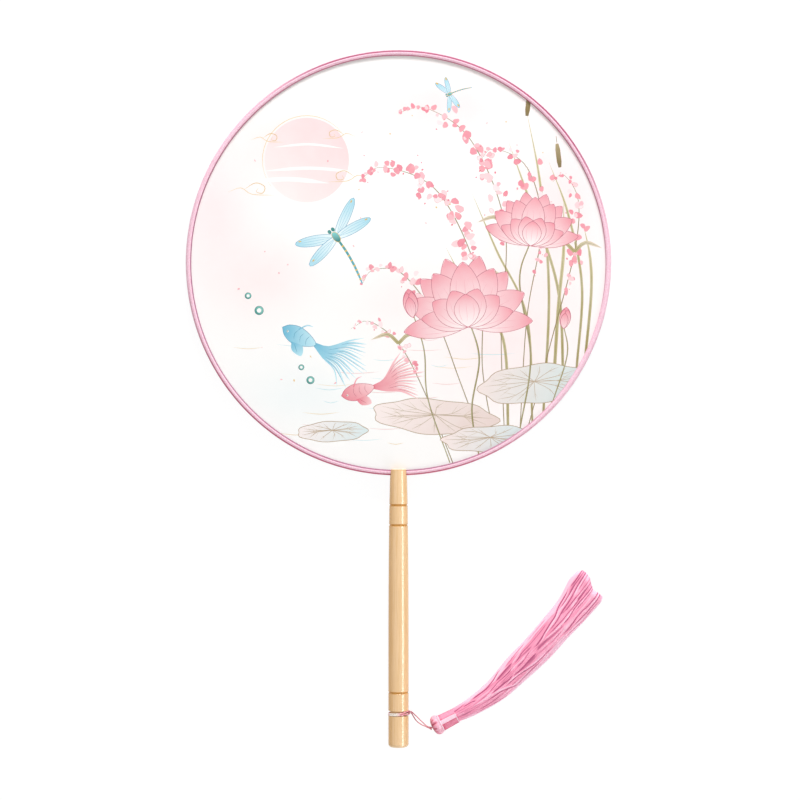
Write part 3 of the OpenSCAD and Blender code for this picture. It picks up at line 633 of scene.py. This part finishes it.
# Painted light and shade: the woven edge lines are strongest at the upper right and lower left and nearly lost
# between, painted dark at the upper right, toward the key lamp, and pale at the lower left; on the lower side the
# inner line is painted wider, where its flank faces the key lamp
painted_line_strength = ease(0.5 + 0.5 * np.cos(2 * (g - math.radians(72))), 0.05, 0.7)
right = ease(np.cos(g - math.radians(60)), -0.6, 0.6)
low = 0.17 * ease(-np.sin(g), 0.6, 0.95)
lost = (np.degrees(g) - 335 + 180) % 360 - 180
x, z = section.T
rad = HOOP_R + x * np.where(x < 0, 0.86 + 0.06 * right, 1) * (1 + 0.012 * wob) + np.maximum(x - 1.2, 0) * 0.10 * wob2
v = np.stack([rad * np.cos(g), HOOP_Y + rad * np.sin(g), AXIS_Z + z * (1 + 0.014 * wob2)], -1)
edge = np.repeat(np.hstack([0.9 - 0.75 * np.exp(-(lost / 30) ** 2), 0.1 + 0.9 * painted_line_strength, right]), cols, axis=0)
s = Shader("ribbon", Roughness=0.55, Sheen_Weight=0.3, Sheen_Roughness=0.4, Specular_IOR_Level=0.35)
place = s.attribute("lay")
q = s.xyz(place)
rib = s.wave(s.math("MULTIPLY_ADD", q[1], 0.28, q[0]), 0.62)
cross = s.wave(q[1], 0.34)
speck = s.noise(s.scaled(place, (1.7, 2.6, 0.4)), 1.0, 4.0, 0.65)
band = s.mix(s.ramp(speck, 0.42, 0.62), "#ffdfec", "#f6bcd2")
band = s.mix(s.times(s.ramp(rib, 0.0, 0.5, 1, 0), 0.28), band, "#e392ad")
lines = s.xyz(s.attribute("edge"))
inside = s.math("MULTIPLY_ADD", lines[2], 0.22, q[2])
outside = s.math("MULTIPLY_ADD", lines[2], 0.4, q[2])
edge_in = s.times(s.ramp(inside, -1.08, -0.78, 1, 0), lines[0])
edge_out = s.times(s.ramp(outside, 0.76, 0.98), s.ramp(q[2], 1.36, 1.55, 1, 0.25))
edge_out = s.times(edge_out, lines[1])
# Painted light and shade: the edge lines' colours change from the lower left to the upper right to suit how the light
# falls
tone = s.mix(edge_in, band, s.mix(lines[2], "#8f3c66", "#b02a5e"))
s.colour(s.mix(edge_out, tone, s.mix(lines[2], "#c4476c", "#9a3c60")))
s.bump(s.math("ADD", s.times(rib, 0.7), s.times(cross, 0.3)), 0.00006)
make_piece("rim_ribbon", v, grid_faces(rows, cols, ends=True), "fan", s.material, ["edge_binding"], "ribbon",
           lay=by_point(g * HOOP_R, distances(section), np.where(x < 0, x - low, x)), edge=edge)

# Wood, wire and glue
s = Shader("handle_wood", Coat_Weight=0.8, Coat_Roughness=0.14, Specular_IOR_Level=0.15)
place = s.millimetres()
q = s.xyz(place)
long_grain = s.noise(s.scaled(place, (1.5, 0.035, 1.5)), 1.0, 5.0, 0.6)
fine_grain = s.noise(s.scaled(place, (7.0, 0.12, 7.0)), 1.0, 4.0, 0.6)
cloud = s.noise(s.scaled(place, (0.16, 0.03, 0.16)), 1.0, 2.0)
burn = None
for y in GROOVES_Y:
    d = s.math("ABSOLUTE", s.math("SUBTRACT", q[1], y))
    d = s.math("SUBTRACT", d, s.times(fine_grain, 0.25))
    here = s.math("ADD", s.ramp(d, 0.3, 0.7, 0.75, 0), s.ramp(d, 0.1, 1.2, 0.25, 0))
    burn = here if burn is None else s.math("MAXIMUM", burn, here)
away = s.math("ABSOLUTE", s.math("SUBTRACT", q[1], STRING_GROOVE_Y))
wood = "#f9d2a2"
for share, tone in ((s.ramp(long_grain, 0.38, 0.66), "#f0c58e"),
                    (s.times(s.ramp(fine_grain, 0.5, 0.75), 0.3), "#c8945c"),
                    (s.times(s.ramp(cloud, 0.45, 0.75), 0.3), "#f4d3a6"),
                    # Painted shade: the wood is painted deeper on its left and right flanks
                    (s.ramp(q[0], -5.6, -1.8, 0.75, 0), "#d39a46"),
                    (s.ramp(q[0], 2.4, 4.0, 0, 0.45), "#e2b070"),
                    (s.times(burn, 0.9), "#d29540"),
                    # Painted shade along the string's groove
                    (s.ramp(away, 1.2, 1.55, 0.45, 0), "#b98a52"),
                    (s.ramp(q[1], FOOT_Y, FOOT_Y + 2.4, 0.35, 0), "#f3dcb6"),
                    (s.ramp(q[1], TOP_Y - 1.2, TOP_Y, 0, 0.35), "#d9a468")):
    wood = s.mix(share, wood, tone)
s.colour(wood)
s.roughness(s.ramp(fine_grain, 0.3, 0.7, 0.42, 0.56))
s.bump(fine_grain, 0.00003)
solids = {"handle": s.material}

s = Shader("wire", Metallic=1.0)
scratch = s.noise(s.scaled(s.millimetres(), (3, 3, 9)), 1.0, 4.0)
s.colour(s.mix(scratch, "#7d7f83", "#a5a7aa"))
s.roughness(s.ramp(scratch, 0.3, 0.7, 0.25, 0.45))
solids["hoop_wire"] = s.material

s = Shader("glue", Roughness=0.35, Specular_IOR_Level=0.5, Subsurface_Weight=0.2, Subsurface_Scale=0.001)
lump = s.noise(s.millimetres(), 1.1, 4.0)
s.colour(s.mix(lump, "#e2d2a6", "#f3ead0"))
s.bump(lump, 0.0002)
solids["glue_plug"] = s.material
for node, material in solids.items():
    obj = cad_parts[node]
    obj = bpy.data.objects[obj] if isinstance(obj, str) else obj
    for slot in obj.material_slots:
        slot.link = "OBJECT"
        slot.material = material

# Print on the leaf: a lotus pond, painted as flat shapes in millimetres from the leaf's middle, later ones on top
LEAF_R = 113.1
rng = np.random.default_rng(23)
shapes = []


def heading(degrees):
    a = math.radians(degrees)
    return np.array([math.cos(a), math.sin(a)])


def left_of(d):
    return np.array([-d[1], d[0]])


def fade(p0, p1, c0, c1, power=1.0):
    """A colour that runs from c0 at p0 to c1 at p1."""
    c0, c1, p0 = linear(c0), linear(c1), np.array(p0, float)
    d = np.array(p1, float) - p0
    return lambda p: c0 + (c1 - c0) * (np.clip((p - p0) @ d / (d @ d), 0, 1) ** power)[:, None]


def paint(points, colour):
    shapes.append((np.asarray(points, float),
                   fade((0, 0), (1, 0), colour, colour) if isinstance(colour, str) else colour))


def stroke(points, width, colour, ends=(0.3, 0.3), step=1.3):
    """A brush line through points, thinner at its ends."""
    p = catmull(points, step)
    t = np.linspace(0, 1, len(p))
    w = width / 2 * np.minimum(1, ends[0] + (1 - ends[0]) * t * 4)
    w = w * np.minimum(1, ends[1] + (1 - ends[1]) * (1 - t) * 4)
    d = unit(np.gradient(p, axis=0))
    side = np.stack([-d[:, 1], d[:, 0]], 1) * w[:, None]
    paint(np.vstack([p + side, (p - side)[::-1]]), colour)


def outline(points, width, colour, step=1.2):
    p = np.asarray(points, float)
    stroke(np.vstack([p, p[:1]]), width, colour, (1, 1), step)


def oval(x, y, rx, ry, turn=0.0, n=12, wave=0.0, waves=5):
    g = angles(n)
    k = 1 + wave * np.sin(waves * g + x)
    u, v = rx * np.cos(g) * k, ry * np.sin(g) * k
    c, s = heading(turn)
    return np.stack([x + u * c - v * s, y + u * s + v * c], 1)


def petal(base, angle, length, width, bend=0.0, tip="#f096a4", root="#fff3f2"):
    """A pointed petal: angle in degrees at its base, bend turns it over its length."""
    t = np.linspace(0, 1, 12)
    g = np.radians(angle + bend * t)
    c = np.array(base, float) + np.vstack([[0, 0], np.cumsum(
        np.stack([np.cos(g), np.sin(g)], 1)[1:] * length / 11, axis=0)])
    w = t ** 0.85 * (1 - t) ** 0.8
    w *= width / 2 / w.max()
    side = np.stack([-np.sin(g), np.cos(g)], 1) * w[:, None]
    edge = np.vstack([c + side, (c - side)[-2:0:-1]])
    paint(edge, fade(base, c[-1], root, tip, 1.5))
    for k in (-0.6, 0.0, 0.6):
        stroke((c + side * k)[2:10:2], 0.16, fade(base, c[-1], "#f6bcc5", "#e1798c"), (0.4, 0.2), 2.2)
    outline(edge, 0.26, "#c25a70", 1.5)


def lotus(x, y, size, lean=0.0, spread=1.0, tip="#f096a4"):
    """An open flower seen from the side: back petals, spread ones, pod, then the cup in front."""

    def petals(y, bend, *pairs):
        for angle, length, width in pairs:
            for g in (angle, -angle) if angle else (0,):
                petal((x, y), 90 + lean + g * spread, size * length, size * width, g * bend, tip)

    petals(y, 0.16, (38, 1.0, 0.40), (13, 1.06, 0.42),
           (84, 0.98, 0.34), (60, 0.98, 0.42), (27, 0.94, 0.44), (0, 0.96, 0.46))
    pod = oval(x, y + size * 0.22, size * 0.13, size * 0.07, lean)
    paint(pod, fade((x, y), (x, y + size * 0.3), "#e9cf86", "#f3e6b8"))
    outline(pod, 0.22, "#b3924a")
    for i in range(9):
        g = math.radians(90 + lean + (i - 4) * 14)
        r = size * (0.3 + 0.03 * (i % 2))
        stroke([(x, y + size * 0.12), (x + r * math.cos(g), y + size * 0.05 + r * math.sin(g))], 0.2, "#e2b64c")
        paint(oval(x + r * math.cos(g), y + size * 0.05 + r * math.sin(g), 0.42, 0.42, n=6), "#d89a35")
    petals(y - size * 0.03, 0.25, (66, 0.72, 0.30), (44, 0.66, 0.38), (17, 0.6, 0.40), (0, 0.5, 0.38))


def bud(x, y, size, lean=0.0, tip="#ec8496"):
    for g, l, w in ((0, 1.0, 0.5), (14, 0.9, 0.34), (-14, 0.9, 0.34), (5, 0.72, 0.34)):
        petal((x, y), 90 + lean + g, size * l, size * w, bend=-g * 1.2, tip=tip, root="#fbd9dc")


def pad(x, y, rx, ry, turn, pale, deep, wave=0.05):
    """A lotus leaf lying on the water."""
    rim = oval(x, y, rx, ry, turn, 44, wave, 7)
    paint(rim, fade((x - rx, y + ry), (x + rx, y - ry), pale, deep))
    inner = oval(x, y, rx * 0.9, ry * 0.9, turn, 44, wave, 7)
    h = np.array([x, y + ry * 0.12])
    for i in range(15):
        e = inner[int(TAU * (i + 0.5) / 15 / TAU * 44) % 44]
        mid = h + (e - h) * 0.55 + rng.normal(0, 0.03, 2) * rx
        stroke([h, mid, e], 0.26, "#b9a184", (1, 0.15), 3.0)
        for side in (-1, 1):
            d = (e - mid) * 0.62
            stroke([mid, mid + d + left_of(d) * side * 0.45], 0.18, "#c8b59c", (0.8, 0.1), 4.0)
    outline(rim, 0.34, "#a98d68", 2.2)


def stem(points, width=0.9):
    stroke(points, width, "#a59c6c", (0.8, 0.7), 2.5)
    stroke(np.array(points, float) + [width * 0.24, 0], width * 0.28, "#7f7444", (0.3, 0.3), 3.0)
    for q in catmull(points, 4.3)[1:-1]:
        paint(oval(q[0] + rng.normal(0, 0.12), q[1], 0.2, 0.2, n=5), "#6e6238")


def spike(points, count, size):
    """An arching stem whose upper part hangs full of small florets."""
    stroke(points, 0.5, "#8d7b4d", (1, 0.2), 2.5)
    c = catmull(points, 0.8)
    first = len(c) // 2
    for i in range(count):
        k = first + (len(c) - 1 - first) * (i + rng.uniform(0, 1)) / count
        q = c[int(k)]
        full = math.sin(math.pi * min(1, 0.12 + 0.88 * (k - first) / (len(c) - first)))
        off = rng.normal(0, 1, 2) * (0.6 + 2.3 * full) * size * [1, 0.8]
        r = size * rng.uniform(0.55, 1.0) * (0.75 + 0.9 * full)
        shade = rng.choice(["#f4a2ad", "#f7bcc4", "#ee8c9c", "#fad2d6", "#f09aa8", "#fde6e8"])
        blob = oval(q[0] + off[0], q[1] + off[1], r * rng.uniform(1.1, 1.6), r, rng.uniform(0, 180), 9, 0.13, 3)
        if i % 3 == 0:
            outline(blob, 0.24, rng.choice(["#d9707f", "#e0909a"]), 1.0)
        paint(blob, shade)
        if i % 4 == 0:
            small = oval(q[0] + off[0] * 1.9 + 1, q[1] + off[1] * 1.9 - 0.8, r * 0.42, r * 0.3, rng.uniform(0, 180), 6)
            paint(small, rng.choice(["#e5798b", "#f4a2ad"]))


def blade(points, width=1.5, c0="#a79b63", c1="#d8cfa4"):
    p = np.array(points, float)
    stroke(p, width, fade(p[0], p[-1], c0, c1), (0.9, 0.02), 3.0)
    stroke(p, 0.18, "#7c7044", (1, 0.1), 4.0)


def wing(x, y, angle, length, width):
    root, d = np.array([x, y]), heading(angle)
    c, e = root + length * 0.5 * d, root + length * d
    shape = oval(*c, length / 2, width / 2, angle, 18, 0.04, 2)
    paint(shape, fade(root, e, "#f2fbfd", "#a6dcec"))
    for k in (-0.25, 0.0, 0.28):
        off = left_of(d) * width * k
        stroke([root, c + off, e * 0.94 + root * 0.06 + off * 0.5], 0.17, "#79bfd6", (1, 0.3), 3)
    outline(shape, 0.24, "#4f9fc0", 1.6)
    q = c * 0.25 + e * 0.75
    paint(oval(q[0], q[1] + width * 0.18, 0.9, 0.4, angle, 6), "#e3b93f")


def dragonfly(x, y, size, angle):
    for g, l in ((62, 1.0), (-62, 1.0), (100, 0.92), (-100, 0.92)):
        wing(x, y, angle + g, size * l, size * 0.24)
    o, d = np.array([x, y]), heading(angle)
    tail = [o - d * size * k + left_of(d) * size * 0.12 * k * k for k in (0, 0.4, 0.8, 1.25)]
    stroke(tail, size * 0.055, fade(tail[0], tail[-1], "#2f8f8a", "#5cb3c6"), (1, 0.5), 1.5)
    for q in catmull(tail, size * 0.12)[2:-1]:
        paint(oval(*q, size * 0.02, size * 0.035, angle, 6), "#e3b93f")
    body = oval(x, y, size * 0.14, size * 0.08, angle)
    paint(body, fade((x, y - size * 0.1), (x, y + size * 0.1), "#227a78", "#7fd0cf"))
    outline(body, 0.24, "#d9b040")
    for k in (-1, 1):
        eye = o + d * size * 0.19 + left_of(d) * size * 0.05 * k
        paint(oval(*eye, size * 0.055, size * 0.045, angle, 8), "#2c8a86")


def goldfish(x, y, size, angle, body, deep, line):
    """A fish with a long veil tail that is drawn as many fine lines."""
    o, d = np.array([x, y]), heading(angle)
    n = left_of(d)

    def at(u, v):
        return o + d * u * size + n * v * size

    for i in range(15):
        k = (i - 7) / 7
        far = 1.55 - 0.35 * abs(k) + rng.uniform(-0.1, 0.1)
        p = [at(-0.42, 0.03 * k), at(-0.8, 0.16 * k + 0.05), at(-1.2, 0.42 * k - 0.08),
             at(-far - 0.35, 0.72 * k - 0.02)]
        stroke(p, rng.uniform(0.5, 1.15), fade(p[0], p[-1], deep, body, 0.7), (0.6, 0.1), 2.6)
        if i % 2:
            stroke(np.array(p) + n * 0.35, 0.2, line, (0.6, 0.1), 3.2)
    shape = [at(*q) for q in ((0.5, 0), (0.36, 0.16), (0.1, 0.25), (-0.2, 0.19), (-0.45, 0.05), (-0.45, -0.05),
                              (-0.2, -0.17), (0.1, -0.22), (0.36, -0.14))]
    shape = catmull(shape + shape[:1], 1.2)[:-1]
    paint(shape, fade(at(-0.4, -0.2), at(0.5, 0.2), body, deep))
    for u in (-0.25, -0.08, 0.09):
        stroke([at(u, 0.14), at(u + 0.05, 0), at(u, -0.13)], 0.2, line)
    outline(shape, 0.26, line)
    fin = [at(0.12, 0.22), at(0.0, 0.42), at(-0.28, 0.44), at(-0.2, 0.2)]
    paint(catmull(fin + fin[:1], 1.5)[:-1], fade(fin[0], fin[2], deep, body))
    stroke([at(0.02, 0.24), at(-0.14, 0.4)], 0.2, line)
    low_fin = [at(0.1, -0.14), at(-0.05, -0.34), at(-0.22, -0.38)]
    stroke(low_fin, 0.7, fade(low_fin[0], at(-0.2, -0.4), deep, body), (0.9, 0.1))
    paint(oval(*at(0.33, 0.03), 0.55, 0.55, n=8), "#fdf8ec")
    paint(oval(*at(0.34, 0.03), 0.3, 0.3, n=7), "#2b5f63")


# Moon with drifts of mist and fine gold cloud lines, upper left
paint(oval(-50, 56, 23, 23, n=56), fade((-66, 40), (-36, 76), "#fdf0ee", "#fadadb", 0.8))
stroke(oval(-50, 56, 24.2, 24.2, n=48)[4:30], 0.26, "#e3c27c", (0.1, 0.1), 3)
for y, x0, x1, w in ((44, -82, -38, 2.6), (50, -74, -22, 1.8), (63, -68, -30, 1.3)):
    stroke([(x0, y), ((x0 + x1) / 2, y + 1.6), (x1, y - 0.6)], w, "#fffaf8", (0.05, 0.05), 3)
for x, y, k, facing in ((-84, 40, 1.0, 1), (-24, 47, 0.9, -1), (-30, 70, 0.7, -1), (-74, 68, 0.7, 1)):
    curl = ((0, 0), (6, 3.5), (11, 1.5), (10, -2), (6.5, -1.4), (7.5, 0.6))
    drift = ((-9, -1.5), (-2, 0.8), (4, -2.6), (16, -3.2))
    curl, drift = ([(x + facing * u * k, y + v * k) for u, v in pts] for pts in (curl, drift))
    stroke(curl, 0.36, "#d9b56f", (0.2, 0.3), 1.3)
    stroke(drift, 0.3, "#e2c48a", (0.1, 0.1), 1.8)

# Ripples on the water
for i in range(30):
    y = -42 - 1.9 * i + rng.uniform(-1, 1)
    half = math.sqrt(max(1, LEAF_R ** 2 - y * y))
    x = rng.uniform(-half * 0.9, half * 0.75)
    long = rng.uniform(8, 26)
    stroke([(x - long / 2, y), (x, y - rng.uniform(0.6, 1.4)), (x + long / 2, y)], rng.uniform(0.2, 0.36),
           rng.choice(["#e6cfa6", "#eecdcb", "#c9e4ea"]), (0.05, 0.05), 3)

# Reeds behind, at the right
for x, tx, ty, lean in ((97, 82, 55, 3), (90, 60, 66, -3), (84, 90, 34, 3), (73, 40, 38, -3), (102, 101, 20, 3),
                        (60, 26, 8, -3), (79, 70, 82, 3)):
    y = -math.sqrt(LEAF_R ** 2 - x * x) - 1
    blade([(x, y), (x + lean, y * 0.45 + ty * 0.25), ((x + tx) / 2 + lean, y * 0.25 + ty * 0.75), (tx, ty)],
          rng.uniform(1.1, 1.8))
for x, y, g in ((70, 80, 84), (88, 52, 97)):
    e = np.array([x, y]) + 13 * heading(g)
    stroke([(x, y), e], 2.6, fade((x, y), e, "#7d6c45", "#a5915f"), (0.6, 0.6), 3)
    stroke([e, e + (e - [x, y]) * 0.35], 0.3, "#7d6c45")

# Smartweed: arching stems of small pink florets
for pts, count, size in (([(54, -104), (46, -60), (44, -10), (22, 38), (-8, 52), (-22, 44)], 62, 1.25),
                         ([(58, -100), (56, -40), (58, 20), (40, 66), (16, 84), (0, 82)], 60, 1.2),
                         ([(66, -95), (70, -30), (78, 20), (70, 52), (52, 62), (44, 55)], 40, 1.1),
                         ([(48, -104), (34, -66), (20, -30), (2, -6), (-14, -4), (-20, -12)], 42, 1.05),
                         ([(70, -92), (84, -40), (96, 6), (98, 34), (90, 48), (84, 44)], 34, 1.0),
                         ([(30, -110), (14, -70), (0, -44), (-16, -32), (-26, -36)], 24, 0.85)):
    spike(pts, count, size)
    q = np.array(pts[2])
    for side in (-1, 1):
        blade([q, q + [side * 6, 5], q + [side * 15, 2]], 2.0, "#b3a770", "#ead9c4")

# Lotus leaves, stems and flowers, lower right
pad(74, -66, 30, 10.5, 6, "#f6e4df", "#cfe3e2")
pad(20, -84, 34, 9.5, -4, "#fbeeea", "#e7d3cc")
pad(-36, -92, 19, 5.5, 2, "#fdf1ee", "#dcebec", 0.04)
stem([(44, -106), (40, -80), (44, -52), (38, -30)])
stem([(66, -92), (72, -52), (66, -10), (72, 12)])
stem([(28, -109), (16, -74), (14, -48), (8, -28)], 0.7)
stem([(84, -76), (92, -50), (90, -34)], 0.7)
lotus(72, 10, 27, -6, 0.8, "#ee92a1")
lotus(38, -34, 36, 5, 1.0)
bud(8, -30, 16, 10)
bud(90, -36, 12, -8)
pad(50, -96, 26, 7, 3, "#f9e6e1", "#cfe6e8", 0.06)

# Goldfish, bubbles and dragonflies
goldfish(-54, -40, 21, 152, "#bfe9f4", "#5fb4d2", "#3f93b5")
goldfish(-22, -70, 19, 196, "#fbd0d3", "#e5697d", "#c24d62")
for x, y, r in ((-76, -26, 2.4), (-82, -18, 1.7), (-48, -64, 2.1), (-53, -57, 1.5)):
    paint(oval(x, y, r, r, n=18), fade((x - r, y - r), (x + r, y + r), "#1f7f78", "#7fd0c4"))
    paint(oval(x, y, r * 0.52, r * 0.52, n=14), "#fdfdfb")
    outline(oval(x, y, r, r, n=18), 0.22, "#1b5f5c")
dragonfly(-34, 14, 23, 128)
dragonfly(28, 92, 10, 205)
for i in range(46):
    g, r = rng.uniform(0, TAU), 104 * math.sqrt(rng.uniform(0.02, 1))
    x, y = r * math.cos(g), r * math.sin(g)
    if y > 0.7 * x - 45:
        paint(oval(x, y, rng.uniform(0.3, 0.8), rng.uniform(0.25, 0.5), rng.uniform(0, 180), 6),
              rng.choice(["#f4a9b2", "#f8c9cc", "#e9c88a", "#f2b7bd"]))


def wash(p):
    """Soft washes of colour under the drawing."""
    c = np.tile(linear("#fffefc"), (len(p), 1))
    for x, y, rx, ry, tone, k in ((62, -40, 58, 56, "#fde3e3", 0.6), (88, 34, 30, 52, "#fde0e2", 0.6),
                                  (24, 86, 56, 22, "#fee6e7", 0.7), (-74, -8, 34, 26, "#fdeaea", 0.7),
                                  (-52, -72, 40, 18, "#eef7f8", 0.5), (-62, 64, 38, 28, "#fdeae8", 0.6),
                                  (-100, 28, 22, 36, "#fddfe2", 0.5), (0, -20, 30, 20, "#fdf0ef", 0.6)):
        d = ((p[:, 0] - x) / rx) ** 2 + ((p[:, 1] - y) / ry) ** 2
        f = (k * np.exp(-d * 1.4))[:, None]
        c = c * (1 - f) + linear(tone) * f
    return c


# The leaf's mesh is cut along every painted edge, and filled with a grid of points between them
ring = 240
GRID_X, GRID_Y, GRID_END = 2.6, 2.25, 112
g = angles(ring)
points = [np.stack([LEAF_R * np.cos(g), LEAF_R * np.sin(g)], 1)]
edges = [np.stack([np.arange(ring), (np.arange(ring) + 1) % ring], 1)]
grid = np.array([(x + (GRID_X / 2 if j % 2 else 0), y) for j, y in enumerate(np.arange(-GRID_END, GRID_END, GRID_Y))
                 for x in np.arange(-GRID_END, GRID_END, GRID_X)])
grid = grid[np.hypot(grid[:, 0], grid[:, 1]) < LEAF_R - 1.2]
points.append(grid)
base = ring + len(grid)
for pts, _ in shapes:
    points.append(pts)
    k = np.arange(len(pts))
    edges.append(np.stack([k, (k + 1) % len(pts)], 1) + base)
    base += len(pts)
points, edges = np.vstack(points), np.vstack(edges)
cut = delaunay_2d_cdt([Vector(p) for p in points.tolist()], edges.tolist(), [], 0, 1e-4)
xy, tri = np.array([[v.x, v.y] for v in cut[0]]), np.array(cut[2])
mid = xy[tri].mean(1)
tri = tri[np.hypot(mid[:, 0], mid[:, 1]) < LEAF_R * 0.99997]
# Each face goes to the last shape whose outline winds round its middle
mid = xy[tri].mean(1)
owner = np.full(len(tri), -1)
for i, (pts, _) in enumerate(shapes):
    near = np.nonzero(((mid >= pts.min(0)) & (mid <= pts.max(0))).all(1))[0]
    if not len(near):
        continue
    (x, y), (x1, y1), (x2, y2) = mid[near].T[..., None], pts.T, np.roll(pts, -1, 0).T
    side = (x2 - x1) * (y - y1) - (x - x1) * (y2 - y1)
    wind = ((y1 <= y) & (y2 > y) & (side > 0)).sum(1) - ((y1 > y) & (y2 <= y) & (side < 0)).sum(1)
    owner[near[wind != 0]] = i
used, tri = np.unique(tri, return_inverse=True)
xy, tri = xy[used], tri.reshape(-1, 3)
ink = np.ones((len(tri), 3, 4), np.float32)
bare = owner < 0
ink[bare, :, :3] = wash(xy)[tri[bare]]
order = np.argsort(owner, kind="stable")
cuts = np.searchsorted(owner[order], np.arange(len(shapes) + 1))
for i, (_, colour) in enumerate(shapes):
    mine = order[cuts[i]:cuts[i + 1]]
    if len(mine):
        ink[mine, :, :3] = colour(xy[tri[mine]].reshape(-1, 2)).reshape(-1, 3, 3)

s = Shader("leaf_cloth", Roughness=0.8, Sheen_Weight=0.15, Sheen_Roughness=0.5, Specular_IOR_Level=0.2)
place = s.millimetres()
q = s.xyz(place)
mottle = s.noise(s.scaled(place, (0.09, 0.09, 0.0)), 1.0, 5.0, 0.6)
grain = s.noise(s.scaled(place, (1.4, 1.4, 0.0)), 1.0, 3.0, 0.6)
tone = s.mix(s.ramp(mottle, 0.35, 0.7, 0.0, 0.10), s.attribute("ink", "Color"), "#ffffff")
s.colour(s.mix(s.ramp(grain, 0.3, 0.7, 0.0, 0.10), tone, s.mix(1.0, tone, "#f9f6f4", "MULTIPLY")))
s.bump(s.math("MAXIMUM", s.wave(q[0], 0.42), s.wave(q[1], 0.42)), 0.00002)
# Both faces carry the print, and billow by up to 0.13 mm
span = 0.09 * (1 - (np.hypot(xy[:, 0], xy[:, 1]) / LEAF_R) ** 6)
for name, node, z, side in (("leaf_front_cloth", "leaf_front", AXIS_Z + CLOTH_T, 1),
                            ("leaf_back_cloth", "leaf_back", AXIS_Z - CLOTH_T, -1)):
    x, y = side * xy[:, 0], xy[:, 1]
    sag = span * (np.sin(x / 17 + 1) * np.sin(y / 23 + 0.4) + 0.5 * np.sin((x + y) / 9.5))
    cloth = make_piece(name, np.stack([x, HOOP_Y + y, z + sag], 1), tri, "fan", s.material, [node], "leaf_cloth")
    cloth.data.color_attributes.new("ink", "FLOAT_COLOR", "CORNER").data.foreach_set("color", ink.ravel())
